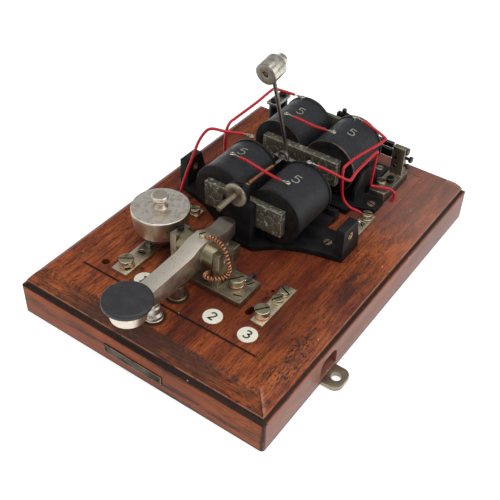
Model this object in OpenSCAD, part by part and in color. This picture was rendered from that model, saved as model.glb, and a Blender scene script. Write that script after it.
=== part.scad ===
/* [Base board] */
// Width of the base board, left to right
base_w = 216; // [214:1:220]
// Length of the base board, front to back
base_l = 305; // [304:1:310]
// Height of the base board; everything on the board is placed from its top face
base_h = 39.8; // [38:0.2:44]
// Height of the upright side faces under the moulding
side_h = 25.4; // [24.6:0.2:26.4]
// Height of the ledge and fillet between side face and moulding
lip_h = 4.1; // [3.4:0.1:4.8]
// Height of the upright fillet at the back of the ledge
fillet_h = 2.4; // [1:0.1:2.8]
// How far the fillet steps in from the side face
lip_in = 3.3; // [2:0.1:4]
// How far the whole moulding steps in from the side face
mould_in = 13.9; // [12:0.1:15]
// Radius of the board's upright corners
corner_r = 3; // [1:0.5:5]
// Width of the line that is cut along the front edge of the cover's place
score_w = 1.2; // [0.8:0.1:2]
// Depth of that front line
score_d = 1; // [0.5:0.1:1.5]
// Width of the lighter line on the other three sides
side_score_w = 0.7; // [0.5:0.1:1]
// Depth of the lighter line
side_score_d = 0.4; // [0.3:0.1:0.5]
// Thickness of the steel mounting plates
plate_t = 3.5; // [3:0.1:4]
// Radius of the hole in each mounting plate
plate_hole_r = 3.75; // [3:0.05:4]
// Radius of the terminal label discs
disc_r = 7.15; // [6:0.05:7.5]

/* [Terminals] */
// Thickness of the earth, zinc and link strips
strip_t = 3; // [2.6:0.1:3.4]
// Head radius of the large terminal screws
big_head_r = 5.6; // [5.2:0.1:5.7]
// Head height of the large terminal screws
big_head_h = 4.8; // [4:0.1:5.5]
// Head radius of the small terminal screws
small_head_r = 4.1; // [3.6:0.1:4.3]
// Head height of the small terminal screws
small_head_h = 3.4; // [3:0.1:4]
// Head radius of the countersunk screws
sunk_head_r = 3.4; // [3:0.1:3.6]
// Width of the screwdriver slots
slot_w = 1.1; // [0.8:0.1:1.3]

/* [Protector] */
// Radius of the protector's cap at its top edge
cap_r = 22; // [21:0.1:22.4]
// Radius of the cap at its bottom edge
cap_foot_r = 20.3; // [20:0.1:21]
// Height of the cap's bottom edge above the board
cap_z = 14.3; // [14:0.1:15]
// Height of the cap itself
cap_h = 17.9; // [16:0.1:19]

/* [Key] */
// Half width of the key lever
lever_half_w = 6.5; // [6:0.1:7]
// Distance of the key's pivot from the board's middle, towards the front
pivot_y = -76; // [-77:0.5:-75]
// Height of the key's pivot above the board
pivot_z = 23.7; // [23:0.1:24.5]
// Radius of the lever's hub
hub_r = 9; // [8.5:0.1:9]
// Half width of the gap between the key's uprights
fork_half_w = 16; // [15.8:0.1:16.2]
// Thickness of the key's uprights
fork_t = 5.5; // [5:0.1:5.8]
// Radius of the key's axle
axle_r = 2.5; // [2:0.1:3]
// Radius of the black knob
knob_r = 17.2; // [16:0.1:17.4]
// Distance of the knob's middle from the board's middle, towards the front
knob_y = -153; // [-154:0.5:-152]

/* [Magnets] */
// Radius of the coils' end flanges
coil_r = 22.75; // [22:0.05:22.9]
// Height of the coils' axes above the board
coil_z = 29.5; // [29.5:0.1:30]
// Length of the front pair of coils
bell_coil_l = 45; // [44:0.5:45]
// Length of the rear pair of coils
relay_coil_l = 46; // [44:0.5:46]
// Radius of the iron cores
core_r = 5; // [4.5:0.1:6]
// Half width of the iron yokes
yoke_half_w = 34.3; // [33:0.1:35]
// Height of the iron yokes
yoke_h = 21.3; // [20:0.1:22]

/* [Bell hammer] */
// Radius of the hammer head
head_r = 8.2; // [7.5:0.1:8.4]
// Length of the hammer head's straight body
head_l = 13.5; // [12:0.1:14]
// Radius of the hammer rod
rod_r = 1.45; // [1.2:0.05:1.6]
// Radius of the tension spindle
spindle_r = 2.25; // [1.9:0.05:2.3]
// Radius of the thumb nut
nut_r = 9.6; // [8.6:0.1:9.7]

/* [Wires and springs] */
// Radius of the insulated wires
wire_r = 1; // [0.9:0.05:1.1]
// Radius of the copper wire of the key's curled connection
pigtail_wire_r = 0.55; // [0.5:0.05:0.6]
// Radius of the curls of that connection, to the middle of the wire
pigtail_curl_r = 1.25; // [1.1:0.05:1.3]
// Distance from one curl to the next
pigtail_pitch = 2.2; // [2.1:0.1:2.6]
// Radius of the wire of the armature spring
spring_wire_r = 0.3; // [0.25:0.01:0.3]
// Radius of the armature spring's turns, to the middle of the wire
spring_curl_r = 1.3; // [1.2:0.05:1.5]
// Distance from one turn of the armature spring to the next
spring_pitch = 1.1; // [1.1:0.05:1.4]

/* [Hidden] */
$fn = 48;
// Facets round a small screw or pin
small_fn = 24;
// Clearance of a shaft that turns or slides in its hole
running = 0.05;
// Clearance of a pin that stays in its hole
snug = 0.03;
// Gap between faces of pieces that move against each other
gap = 0.3;
// Length of the bare cut past a face, so that cuts open cleanly
over = 1;
// Rings round each curl of a wound wire
curl_rings = 8;
// Sides of a wound wire and of a plain wire
curl_sides = 6;
wire_sides = 8;
// Thickness of the castings' foot plates
foot_t = 5;
// Depth of a screwdriver slot
slot_d = 1.2;
// Height of a bare wire loop under a screw head
loop_t = 1.4;
// Radii of the wire loops under large and small heads, to the middle of the wire
big_loop_r = 5;
small_loop_r = 3.6;

// Screws, each as [x, y, height of the seat above the board, angle of the slot]
BIG_SCREWS = [
    [-47.3, -103, strip_t + loop_t, 37], [29.5, -73.7, foot_t + loop_t, 54],
    [60, -86.2, strip_t + loop_t, 53]];
SMALL_SCREWS = [
    [61, -69, strip_t, 59], [61.1, -59.6, strip_t, -22], [66, 49.4, strip_t + loop_t, 20],
    [-45.4, -25, strip_t, 40], [-64, -25, strip_t + loop_t, 70], [56, 89.8, 8, 30]];
SUNK_SCREWS = [
    [-47.2, -86.9, strip_t, 16], [36.4, -82.8, foot_t, 20], [37.3, -67, foot_t, 60],
    [66.1, 40.4, strip_t, -40], [57.5, 4.5, foot_t, 78], [-57.5, 4.5, foot_t, 30],
    [60.9, 65.3, foot_t, -12], [-60.9, 65.3, foot_t, 50], [43, 113, foot_t, 15],
    [-43, 113, foot_t, 80]];
// Screw that holds the foot of the curled connection on the key's base
PIGTAIL_FOOT_SCREW = [11, -79.8, foot_t, 20];
screw_shank_r = 1.6;
screw_shank_l = 15;
// Screws of the mounting plates, from below, as distances from the board's middle
plate_screw_x = [84, 97];
plate_y = -72.35;
plate_w = 20.1;
plate_hole_x = 115;
plate_start_x = 78;
plate_end_x = 122.3;
plate_end_r = 6.4;
// Pocket above each mounting plate
pocket_x = 98;
pocket_z = 5;
pocket_w = 21.5;
pocket_h = 16;
pocket_r = 7;
// Rectangle that the cover stands on
cover_w = 152.4;
cover_l = 246;
score_y = 5;

// Nameplate's width and height on the front face
nameplate_span = [-27.2, 24.6];
nameplate_rise = [7.9, 15.7];
// Bored hole for the line wire, and two close ones for the wires beside the right strip
line_hole = [-64, -107.5];
twin_holes_x = 49.5;
twin_holes_y = [-87.5, -83.5];
twin_hole_r = 2.5;

// Label discs, in plan
DISCS = [[-29.5, -105.3], [32.1, -105.3], [61.1, -104.9]];
disc_t = 1.6;
disc_proud = 0.4;

// Runs of wire in the channels under the board, as plan points, each with its height
LINE_RUN = [[32, -55], [32, 84], [70, 84]];
BACK_STOP_RUN = [[-50, 20.4], [-50, -49], [5, -49]];
BATTERY_RUN = [[51.3, -59.8], [51.3, -129.5], [0, -129.5]];
EARTH_RUN = [[-38.4, -97], [-38.4, -24], [-55, -24]];
RUNS = [[LINE_RUN, 3], [BACK_STOP_RUN, 3], [BATTERY_RUN, 3], [EARTH_RUN, 6]];
channel_w = 6;
channel_d = 8;
riser_r = wire_r + 0.3;

// Protector's place, and its inner parts
protector = [-47, -63.5];
pillar_ring_r = 14.6;
pillar_angles = [-92, 28, 148];
pillar_r = 2.4;
ring_z = 10.2;
ring_r = 18.6;
cap_wall = 2;
cap_in_r = cap_foot_r - cap_wall - 0.4;

// Side outline of the key lever, as [y, height above the board]
lever_outline = [
    [-150, 31.5], [-150, 22.5], [-134, 18.5], [-118, 15.4], [-100, 14.6], [-60, 16.2],
    [-50, 18], [-39.8, 20.2], [-39.8, 28.6], [-47, 30.2], [-56, 29.2], [-64, 30.7],
    [-72, 35.2], [-84, 35.2], [-95, 32], [-136, 31.5]];
lever_end_y = -39.8;
pad_top_z = 31.5;
pad_bottom_z = 21.2;
pad_r = 14;
pad_foot_r = 12.5;
knob_t = 5.2;
post_y = -129.5;
post_top_z = 14.2;
contact_tip_z = 15.9;
barrel_y = -104;
barrel_r = 6.1;
barrel_bore_r = 4.4;
stop_y = -49;
lever_screw_z = 35.2;
lock_screw_z = 32.5;

// Bell frame
frame_outline = [
    [-15, -34.5], [15, -34.5], [29.6, -20.8], [44.5, -13.3], [60.1, -8.7], [75.3, -5.4],
    [75.3, 19], [46, 19], [47, 39], [-47, 39], [-46, 19], [-75.3, 19], [-75.3, -5.4],
    [-60.1, -8.7], [-44.5, -13.3], [-29.6, -20.8]];
lug_outer_x = 75.3;
lug_t = 7;
insert_y = 5;
insert_z = 19.2;
insert_r = 3.2;
insert_bore_r = 1.8;
centre_lug_front = -34;
spindle_z = 47.2;

// Front and rear magnets
bell_yoke_y = -27;
bell_coil_x = 24;
bell_coil_y = -21.5;
relay_yoke_y = 50.5;
relay_coil_x = 23.5;
relay_coil_y = 57;
yoke_z = 18.2;
bell_yoke_t = bell_coil_y - bell_yoke_y;
relay_yoke_t = relay_coil_y - relay_yoke_y;
flange_t = 1.6;
tenon_r = 4;
pole_out = 2.4;
winding_inset = 0.6;
// Wire eyelets on the coils
EYELETS = [
    [-25, -5, 55.2], [-27, 23, 55.2], [27.6, -10, 55.2], [25.5, 22, 54.2],
    [-21.5, 63, 57.7], [-25, 92, 57.7], [21.8, 63, 57.7], [24, 92, 57.7]];

// Outline of a leg of either armature, about its pivot
leg_outline = [[-2.4, -2.2], [2.4, -2.2], [2.4, 10.8], [-2.4, 10.8]];
// Armatures: both hang on pins between two ears of their frame
bell_pivot = [30, 8.2];
relay_pivot = [109, 8.2];
armature_y = 28;
armature_t = 3.5;
pin_r = 1.5;
ear_x = 22;
ear_t = 4;
leg_in_x = 14;
leg_t = ear_x - gap - leg_in_x;
// Relay tongue's arms, each as its lowest and highest point, and the screws of their bracket
contact_arm_spans = [[20.7, 28], [29.8, 34.3]];
contact_screw_z = [17, 25.3];
contact_screw_x = 58;
contact_screw_r = 1.7;
bracket_x = 65;
// Hammer rod and head, in the middle plane
rod_foot = [32.95, 27.5];
rod_bend = [32.95, 44.6];
head_face = [-3.3, 129.3];
head_tilt = 10.07;
rod_end = [5, 128.5];

// Wire routes by hand, heights above the board
LEFT_WIRES = [
    [[-28.2, 22.4, 56], [-30.4, 19.7, 57.5], [-42.9, 9.9, 60.2], [-53, 7.4, 59.8],
     [-57, 4, 57.5], [-59.5, -2, 50], [-60.5, -9, 38], [-62, -15, 26], [-63.3, -19.5, 14],
     [-64, -20.6, 7], [-64, -23.2, 3.9]],
    [[-26.6, 91.6, 57.9], [-48.2, 88.9, 58.2], [-50.6, 86, 58.2], [-49.5, 61.6, 58.2],
     [-49.3, 31.9, 58.2], [-49.7, 26, 57.5], [-50.3, 22, 52], [-50.4, 20.4, 40],
     [-50, 20.4, 16], [-50, 20.4, -2]]];
JUMPERS = [
    [[-23.4, -5.2, 55.6], [-10, -5.6, 55], [4, -7, 53.8], [17, -9, 54], [26, -10.2, 55.2]],
    [[-19.9, 63, 57.8], [-10, 63, 57.3], [4, 63, 56.3], [20.2, 63, 57.6]]];
RIGHT_WIRES = [
    [[27.2, 22.2, 54.3], [38, 25, 51.5], [53.5, 29.3, 46.6], [56.4, 31.5, 46], [56, 36, 46],
     [54.5, 46, 45.4], [54, 74, 45.4], [54.3, 77.5, 44], [53.8, 78, 38], [53.2, 76.6, 15],
     [54.4, 77.2, 12.6], [58, 78.6, 12.2], [63, 80.6, 12.4], [68, 83.2, 11.4],
     [70.8, 85, 7.6], [70.8, 85, 3.4], [70, 84, 0.6], [70, 84, -2]],
    [[25.6, 92.6, 57.8], [37, 95, 53], [50, 94.6, 48.4], [52.6, 91, 47.8], [50, 76, 47.4],
     [46, 60, 46.6], [44.2, 46, 45.6], [44.2, 42.5, 43.5], [44.8, 41.6, 36],
     [46, 43.7, 18], [51, 47, 8.6], [57, 49.8, 5.6], [63.6, 50.4, 4]]];
LINE_LEAD = [
    [33.2, -67.6, 6.2], [34, -65, 6.4], [34, -61.4, 6.4], [32.8, -57.6, 4.4], [32, -55.2, 1.4],
    [32, -55, -1.9]];
LINE_TAIL = [[31.9, -69.8, 5.75], [32.5, -68.8, 5.8], [33.2, -67.6, 6.2]];
// Curled connection, from the lever's screw round the right upright to the key's base
PIGTAIL_ROUTE = [
    [2.62, -74, 36.4], [8, -73.8, 36.9], [15, -75, 37.1], [21.5, -77.4, 35.4], [26, -79.6, 28],
    [27, -80, 19.8], [25, -83.6, 15.9], [20, -89.3, 16.3], [14.4, -89.4, 15.6],
    [11.2, -85, 13], [11, -79.8, 10.4], [11, -79.8, 7.6]];
SPRING_ROUTE = [[0, -19, 47.2], [0, -16, 47.1], [0, 0, 46], [0, 13.5, 44.4], [0, 16.5, 44.4]];

function unit(v) = v / norm(v);

// Direction of a line of points at one of them
function heading(p, i) = unit(p[min(i + 1, len(p) - 1)] - p[max(i - 1, 0)]);

// One unit vector square to a direction
function square_to(v) = unit(cross(v, abs(v.z) < 0.9 ? [0, 0, 1] : [1, 0, 0]));

// Unit vectors square to a line of points, carried along it without twist
function normals(p) = [
    for (i = 0, n = square_to(heading(p, 0)); i < len(p);
         i = i + 1,
         n = i < len(p) ? unit(n - (n * heading(p, i)) * heading(p, i)) : n)
        n];

// Point at t, from 0 to 1, of the smooth curve from point i of a route to the next
function smooth_at(p, i, t) =
    let (a = p[max(i - 1, 0)], b = p[i], c = p[i + 1], d = p[min(i + 2, len(p) - 1)])
    0.5 * (2 * b + (c - a) * t + (2 * a - 5 * b + 4 * c - d) * t * t
           + (3 * b - a - 3 * c + d) * t * t * t);

// Points about one step apart along the smooth curve through a route
function smooth(p, step) = concat(
    [for (i = [0 : len(p) - 2])
        let (n = max(1, round(norm(p[i + 1] - p[i]) / step)))
        for (k = [0 : n - 1]) smooth_at(p, i, k / n)],
    [p[len(p) - 1]]);

// Middle line of a wire that is wound round a route and runs straight at both ends
function curled(route, curl_r, pitch, wire) =
    let (c = smooth(route, pitch / curl_rings),
         n = normals(c),
         last = len(c) - 1,
         straight = ceil(2 * wire * curl_rings / pitch))
    [for (i = [0 : last])
        let (t = heading(c, i),
             b = cross(t, n[i]),
             a = 360 * i / curl_rings,
             grow = max(0, min(1, min(i, last - i) / curl_rings - straight / curl_rings)))
        c[i] + curl_r * grow * (cos(a) * n[i] + sin(a) * b)];

// Least gap between a wound wire and its own other turns
function least_gap(p, wire) =
    min([for (i = [0 : len(p) - 1 - curl_rings], j = [i + curl_rings : len(p) - 1])
        norm(p[i] - p[j])]) - 2 * wire;

// Solid wire round a line of points
module sweep(p, r, sides) {
    n = normals(p);
    points = [
        for (i = [0 : len(p) - 1])
            let (b = cross(heading(p, i), n[i]))
            for (k = [0 : sides - 1])
                let (a = 360 * k / sides)
                p[i] + r * (cos(a) * n[i] + sin(a) * b)];
    skin = [
        for (i = [0 : len(p) - 2], k = [0 : sides - 1])
            let (a = i * sides + k, b = i * sides + (k + 1) % sides)
            each [[a, b + sides, b], [a, a + sides, b + sides]]];
    tail = (len(p) - 1) * sides;
    first_cap = [for (k = [1 : sides - 2]) [0, k, k + 1]];
    last_cap = [for (k = [1 : sides - 2]) [tail, tail + k + 1, tail + k]];
    polyhedron(points, concat(skin, first_cap, last_cap));
}

// Round bar from one point of the middle plane to another, as [y, z]
module bar_in_middle(from, to, r) {
    length = norm(to - from);
    translate([0, from.x, from.y])
        rotate([-atan2(to.x - from.x, to.y - from.y), 0, 0])
            cylinder(r = r, h = length);
}

// Straight round bar along X from one place to another
module bar_x(x0, x1, y, z, r) {
    translate([x0, y, z])
        rotate([0, 90, 0])
            cylinder(r = r, h = x1 - x0);
}

// Straight round bar along Y
module bar_y(x, y0, y1, z, r) {
    translate([x, y0, z])
        rotate([-90, 0, 0])
            cylinder(r = r, h = y1 - y0);
}

// Block between two corners
module block(from, to) {
    translate(from)
        cube(to - from);
}

// Places its children on the board's top face
module on_board() {
    translate([0, 0, base_h])
        children();
}

// Rectangle with round corners, about the middle
module rounded_rect(w, l, r) {
    square([w - 2 * r, l], center = true);
    square([w, l - 2 * r], center = true);
    for (x = [-1, 1], y = [-1, 1])
        translate([x * (w / 2 - r), y * (l / 2 - r)])
            circle(r);
}

// Prism along X from an outline of [y, z] points
module prism_x(x0, x1, outline) {
    translate([x0, 0, 0])
        rotate([90, 0, 90])
            linear_extrude(x1 - x0)
                polygon(outline);
}

// Screwdriver slot across a head whose top is at z = 0
module driver_slot(r, angle) {
    rotate(angle)
        translate([-r - over, -slot_w / 2, -slot_d])
            cube([2 * (r + over), slot_w, slot_d + over]);
}

// Screw with a cylindrical head, whose seat is at z = 0
module cheese_screw(r, h, angle, length = screw_shank_l) {
    difference() {
        rotate_extrude()
            polygon([
                [0, -length], [screw_shank_r, -length], [screw_shank_r, 0], [r, 0], [r, h - 0.4],
                [r - 0.5, h], [0, h]]);
        translate([0, 0, h])
            driver_slot(r, angle);
    }
}

// Screw with a flush, cone-shaped head, whose face is at z = 0
module sunk_screw(r, angle, length = screw_shank_l) {
    difference() {
        rotate_extrude()
            polygon([
                [0, -length], [screw_shank_r, -length], [screw_shank_r, screw_shank_r - r],
                [r, 0], [0, 0]]);
        driver_slot(r, angle);
    }
}

// Hole that a flush screw's head and shank fit
module sunk_bore(r, length = screw_shank_l) {
    translate([0, 0, -r + screw_shank_r])
        cylinder(r1 = screw_shank_r + snug, r2 = r + snug, h = r - screw_shank_r);
    cylinder(r = r + snug, h = over);
    translate([0, 0, -length - snug])
        cylinder(r = screw_shank_r + snug, h = length);
}

// Holes of every screw on the board, cut from whatever the screws pass through
module screw_bores() {
    for (s = [each BIG_SCREWS, each SMALL_SCREWS, PIGTAIL_FOOT_SCREW])
        translate([s[0], s[1], s[2] - screw_shank_l - snug])
            cylinder(r = screw_shank_r + snug, h = screw_shank_l + 4 * over, $fn = small_fn);
    for (s = SUNK_SCREWS)
        translate([s[0], s[1], s[2]])
            sunk_bore(sunk_head_r);
}

// Half of the board's cross-section
function moulding(half) = concat(
    [[0, 0], [half, 0], [half, side_h], [half - lip_in, side_h + lip_h - fillet_h]],
    [for (t = [0 : 0.2 : 1])
        let (bulge = 0.7 * sin(180 * t))
        [half - lip_in - t * (mould_in - lip_in) + bulge,
         side_h + lip_h + t * (base_h - side_h - lip_h) + bulge]],
    [[0, base_h]]);

// Bar with the board's cross-section on both long sides
module moulded_bar(half, length) {
    for (side = [0, 1])
        mirror([side, 0, 0])
            rotate([90, 0, 0])
                linear_extrude(length, center = true)
                    polygon(moulding(half));
}

// Straight channel between two plan points of one run
module channel_leg(from, to) {
    low = [min(from.x, to.x), min(from.y, to.y)] - [channel_w, channel_w] / 2;
    high = [max(from.x, to.x), max(from.y, to.y)] + [channel_w, channel_w] / 2;
    block([low.x, low.y, -over], [high.x, high.y, channel_d]);
}

// Channels under the board and the holes at both ends of each
module channels() {
    for (run = RUNS) {
        p = run[0];
        for (i = [0 : len(p) - 2])
            channel_leg(p[i], p[i + 1]);
        for (end = [p[0], p[len(p) - 1]])
            translate([end.x, end.y, -over])
                cylinder(r = riser_r, h = base_h + 2 * over, $fn = small_fn);
    }
}

// Outline of the right mounting plate
module mounting_plate_outline() {
    straight_end = plate_end_x - plate_end_r;
    translate([plate_start_x, plate_y - plate_w / 2])
        square([straight_end - plate_start_x, plate_w]);
    translate([plate_start_x, plate_y - plate_w / 2 + plate_end_r])
        square([plate_end_x - plate_start_x, plate_w - 2 * plate_end_r]);
    for (side = [-1, 1])
        translate([straight_end, plate_y + side * (plate_w / 2 - plate_end_r)])
            circle(plate_end_r);
}

// Rectangle scored in the board's top face, where the cover stands, deeper along its front
module score_line() {
    translate([0, score_y, base_h - side_score_d])
        linear_extrude(side_score_d + over)
            difference() {
                square([cover_w, cover_l], center = true);
                square([cover_w - 2 * side_score_w, cover_l - 2 * side_score_w], center = true);
            }
    block([-cover_w / 2, score_y - cover_l / 2, base_h - score_d],
          [cover_w / 2, score_y - cover_l / 2 + score_w, base_h + over]);
}

// Pocket with a round top above the right mounting plate
module plate_pocket() {
    translate([pocket_x, plate_y, pocket_z])
        rotate([90, 0, 90])
            linear_extrude(base_w / 2 + over - pocket_x) {
                translate([-pocket_w / 2, 0])
                    square([pocket_w, pocket_h - pocket_r]);
                translate([pocket_r - pocket_w / 2, 0])
                    square([pocket_w - 2 * pocket_r, pocket_h]);
                for (side = [-1, 1])
                    translate([side * (pocket_w / 2 - pocket_r), pocket_h - pocket_r])
                        circle(pocket_r);
            }
}

module base_board() {
    color("#7a3b22")
    difference() {
        intersection() {
            moulded_bar(base_w / 2, base_l);
            rotate(90)
                moulded_bar(base_l / 2, base_w);
            linear_extrude(base_h)
                rounded_rect(base_w, base_l, corner_r);
        }
        score_line();
        channels();
        on_board() {
            screw_bores();
            for (d = DISCS)
                translate([d.x, d.y, disc_proud - disc_t])
                    cylinder(r = disc_r + snug, h = disc_t + over);
            translate([line_hole.x, line_hole.y, -base_h - over])
                cylinder(r = 3, h = base_h + 2 * over);
            for (y = twin_holes_y)
                translate([twin_holes_x, y, -base_h - over])
                    cylinder(r = twin_hole_r, h = base_h + 2 * over);
            block([twin_holes_x - twin_hole_r, twin_holes_y[0], -base_h - over],
                  [twin_holes_x + twin_hole_r, twin_holes_y[1], over]);
        }
        for (side = [0, 1])
            mirror([side, 0, 0]) {
                translate([0, 0, -over])
                    linear_extrude(plate_t + over)
                        mounting_plate_outline();
                plate_pocket();
                for (x = plate_screw_x)
                    translate([x, plate_y, 0])
                        mirror([0, 0, 1])
                            sunk_bore(sunk_head_r, 12);
            }
    }
}

module mounting_plates() {
    color("#b9b6ae")
    for (side = [0, 1])
        mirror([side, 0, 0])
            difference() {
                linear_extrude(plate_t)
                    mounting_plate_outline();
                translate([plate_hole_x, plate_y, -over])
                    cylinder(r = plate_hole_r, h = plate_t + 2 * over);
                for (x = plate_screw_x)
                    translate([x, plate_y, 0])
                        mirror([0, 0, 1])
                            sunk_bore(sunk_head_r, 12);
            }
}

module nameplate() {
    color("#6f6a58")
    block([nameplate_span[0], -base_l / 2 - 0.8, nameplate_rise[0]],
          [nameplate_span[1], -base_l / 2, nameplate_rise[1]]);
}

module nameplate_pins() {
    color("#9a927c")
    for (p = [[-25.8, 10.2], [21, 9.8]])
        translate([p.x, -base_l / 2 - 0.8, p.y])
            rotate([90, 0, 0])
                cylinder(r1 = 0.9, r2 = 0.5, h = 0.5, $fn = small_fn);
}

module terminal_discs() {
    color("#efe9d2")
    on_board()
        for (d = DISCS)
            translate([d.x, d.y, disc_proud - disc_t])
                cylinder(r = disc_r, h = disc_t);
}

module earth_strip() {
    color("#a9a598")
    on_board()
        difference() {
            block([-54.2, -112, 0], [-40.4, -50, strip_t]);
            screw_bores();
        }
}

module zinc_strip() {
    color("#a9a598")
    on_board()
        difference() {
            block([56, -94.8, 0], [66.1, -51.8, strip_t]);
            screw_bores();
        }
}

module link_strips() {
    color("#a9a598")
    on_board()
        difference() {
            union() {
                block([61, 25.3, 0], [71, 55.6, strip_t]);
                block([-71, -29.5, 0], [-40.5, -20, strip_t]);
            }
            screw_bores();
        }
}

module terminal_screws() {
    color("#c2bca6")
    on_board()
        for (s = BIG_SCREWS)
            translate([s[0], s[1], s[2]])
                cheese_screw(big_head_r, big_head_h, s[3]);
}

module small_screws() {
    color("#c2bca6")
    on_board() {
        for (s = SMALL_SCREWS)
            translate([s[0], s[1], s[2]])
                cheese_screw(small_head_r, small_head_h, s[3]);
        translate([PIGTAIL_FOOT_SCREW[0], PIGTAIL_FOOT_SCREW[1], PIGTAIL_FOOT_SCREW[2]])
            cheese_screw(2.6, 2.6, PIGTAIL_FOOT_SCREW[3]);
    }
}

module countersunk_screws() {
    color("#b5ad8e") {
        on_board()
            for (s = SUNK_SCREWS)
                translate([s[0], s[1], s[2]])
                    sunk_screw(sunk_head_r, s[3]);
        for (side = [-1, 1], x = plate_screw_x)
            translate([side * x, plate_y, 0])
                mirror([0, 0, 1])
                    sunk_screw(sunk_head_r, 30, 12);
    }
}

module protector_pillars() {
    color("#3a3835")
    on_board()
        for (a = pillar_angles) {
            foot = a == pillar_angles[0] ? strip_t : 0;
            translate([protector.x, protector.y, foot])
                rotate(a)
                    translate([pillar_ring_r, 0, 0])
                        cylinder(r = pillar_r, h = ring_z - foot, $fn = small_fn);
        }
}

module protector_base() {
    color("#4a2018")
    on_board()
        translate([protector.x, protector.y, ring_z])
            rotate_extrude()
                polygon([
                    [3, 0], [17.4, 0], [ring_r, 1], [ring_r, 4], [17.4, 4], [17.4, 6], [14, 6],
                    [14, 4], [3, 4]]);
}

module protector_reel() {
    color("#7d6a3c")
    on_board()
        translate([protector.x, protector.y, ring_z + 4])
            rotate_extrude()
                polygon([
                    [2, 0], [12, 0], [12, 1.5], [10.5, 1.5], [10.5, 10.5], [12, 10.5], [12, 12],
                    [2, 12]]);
}

module protector_cap() {
    color("#cfcbc0")
    on_board()
        translate([protector.x, protector.y, cap_z])
            difference() {
                rotate_extrude()
                    polygon([
                        [0, cap_h], [cap_r - 0.8, cap_h], [cap_r, cap_h - 0.8],
                        [cap_r, cap_h - 4], [cap_foot_r, 0], [cap_in_r, 0],
                        [cap_in_r + 0.7, cap_h - 4], [cap_in_r + 0.7, cap_h - cap_wall],
                        [0, cap_h - cap_wall]]);
                translate([0, 0, cap_h - cap_wall - over])
                    cylinder(r = 1.6 + snug, h = cap_wall + 2 * over, $fn = small_fn);
            }
}

module protector_knob() {
    color("#d6d2c8")
    on_board()
        translate([protector.x, protector.y, cap_z + cap_h])
            rotate_extrude()
                polygon(concat(
                    [[0, -cap_wall], [1.6, -cap_wall], [1.6, 0], [5.7, 0]],
                    [for (t = [0.1 : 0.1 : 0.9]) [4 + 1.9 * pow(2 * t - 1, 2), 7.4 * t]],
                    [[6.3, 7.6], [6.3, 9.6], [5.6, 10.5], [0, 10.5]]));
}

// Outline of a key upright, as [y, height above the board]
upright_outline = [
    [-86, 0], [-62, 0], [-62, 9], [-67, 14], [-67, 30.2], [-84, 33.7], [-84, 12], [-86, 8]];

module key_frame() {
    color("#a8a393")
    on_board()
        difference() {
            union() {
                block([-24, -88.3, 0], [42.5, -62.3, foot_t]);
                for (side = [0, 1])
                    mirror([side, 0, 0])
                        prism_x(fork_half_w, fork_half_w + fork_t, upright_outline);
            }
            bar_x(-30, 30, pivot_y, pivot_z, axle_r + snug);
            screw_bores();
            translate([-19, pivot_y + 1, pivot_z + axle_r + 0.2])
                cylinder(r = 1.5 + snug, h = 12, $fn = small_fn);
        }
}

module key_axle() {
    color("#8f8b80")
    on_board()
        bar_x(-fork_half_w - fork_t - 0.6, fork_half_w + fork_t + 0.6, pivot_y, pivot_z, axle_r);
}

module set_screws() {
    color("#2b2a2a")
    on_board() {
        translate([-19, pivot_y + 1, lock_screw_z])
            difference() {
                union() {
                    cylinder(r = 2.5, h = 2.4);
                    translate([0, 0, pivot_z + axle_r + 0.2 - lock_screw_z])
                        cylinder(r = 1.5, h = lock_screw_z + 0.5 - pivot_z - axle_r, $fn = small_fn);
                }
                translate([0, 0, 2.4])
                    driver_slot(2.5, 60);
            }
        translate([0, -31, 53.2])
            difference() {
                union() {
                    cylinder(r = 2.6, h = 1.8);
                    translate([0, 0, spindle_z + spindle_r + 0.15 - 53.2])
                        cylinder(r = 1.4, h = 6.1 - spindle_r, $fn = small_fn);
                }
                translate([0, 0, 1.8])
                    driver_slot(2.6, 20);
            }
    }
}

// Plan of the lever: a straight bar with a round end, joined to the round pad
module lever_plan() {
    translate([-lever_half_w, knob_y])
        square([2 * lever_half_w, lever_end_y - lever_half_w - knob_y]);
    translate([0, lever_end_y - lever_half_w])
        circle(lever_half_w);
}

module key_lever() {
    color("#b3aea0")
    on_board()
        difference() {
            union() {
                intersection() {
                    prism_x(-lever_half_w, lever_half_w, lever_outline);
                    linear_extrude(60)
                        lever_plan();
                }
                translate([0, knob_y, pad_bottom_z])
                    cylinder(r1 = pad_foot_r, r2 = pad_r, h = pad_top_z - pad_bottom_z);
                bar_x(-fork_half_w + gap, fork_half_w - gap, pivot_y, pivot_z, hub_r);
            }
            bar_x(-30, 30, pivot_y, pivot_z, axle_r + running);
            translate([0, knob_y, pad_bottom_z - over])
                cylinder(r = 2 + snug, h = 20, $fn = small_fn);
            translate([0, -74, lever_screw_z - 5])
                cylinder(r = 1.3 + snug, h = 8, $fn = small_fn);
            for (y = [post_y, stop_y])
                translate([0, y, 12])
                    cylinder(r = 1.5 + snug, h = 9, $fn = small_fn);
        }
}

module key_knob() {
    color("#1c1c1e")
    on_board()
        translate([0, knob_y, pad_top_z])
            rotate_extrude()
                polygon(concat(
                    [[2 + snug, 0], [knob_r - 2.4, 0], [knob_r - 0.4, 1], [knob_r, 1.8], [knob_r, 3.2]],
                    [for (a = [15 : 15 : 90]) [knob_r - 1.8 + 1.8 * cos(a), 3.2 + 1.8 * sin(a)]],
                    [[0, knob_t], [0, 4], [2 + snug, 4]]));
}

module knob_screw() {
    color("#8f8b80")
    on_board()
        translate([0, knob_y, pad_bottom_z]) {
            cylinder(r = 2, h = pad_top_z - pad_bottom_z + 4 - snug, $fn = small_fn);
            translate([0, 0, -1.8])
                difference() {
                    cylinder(r = 3.4, h = 1.8);
                    mirror([0, 0, 1])
                        driver_slot(3.4, 30);
                }
        }
}

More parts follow.
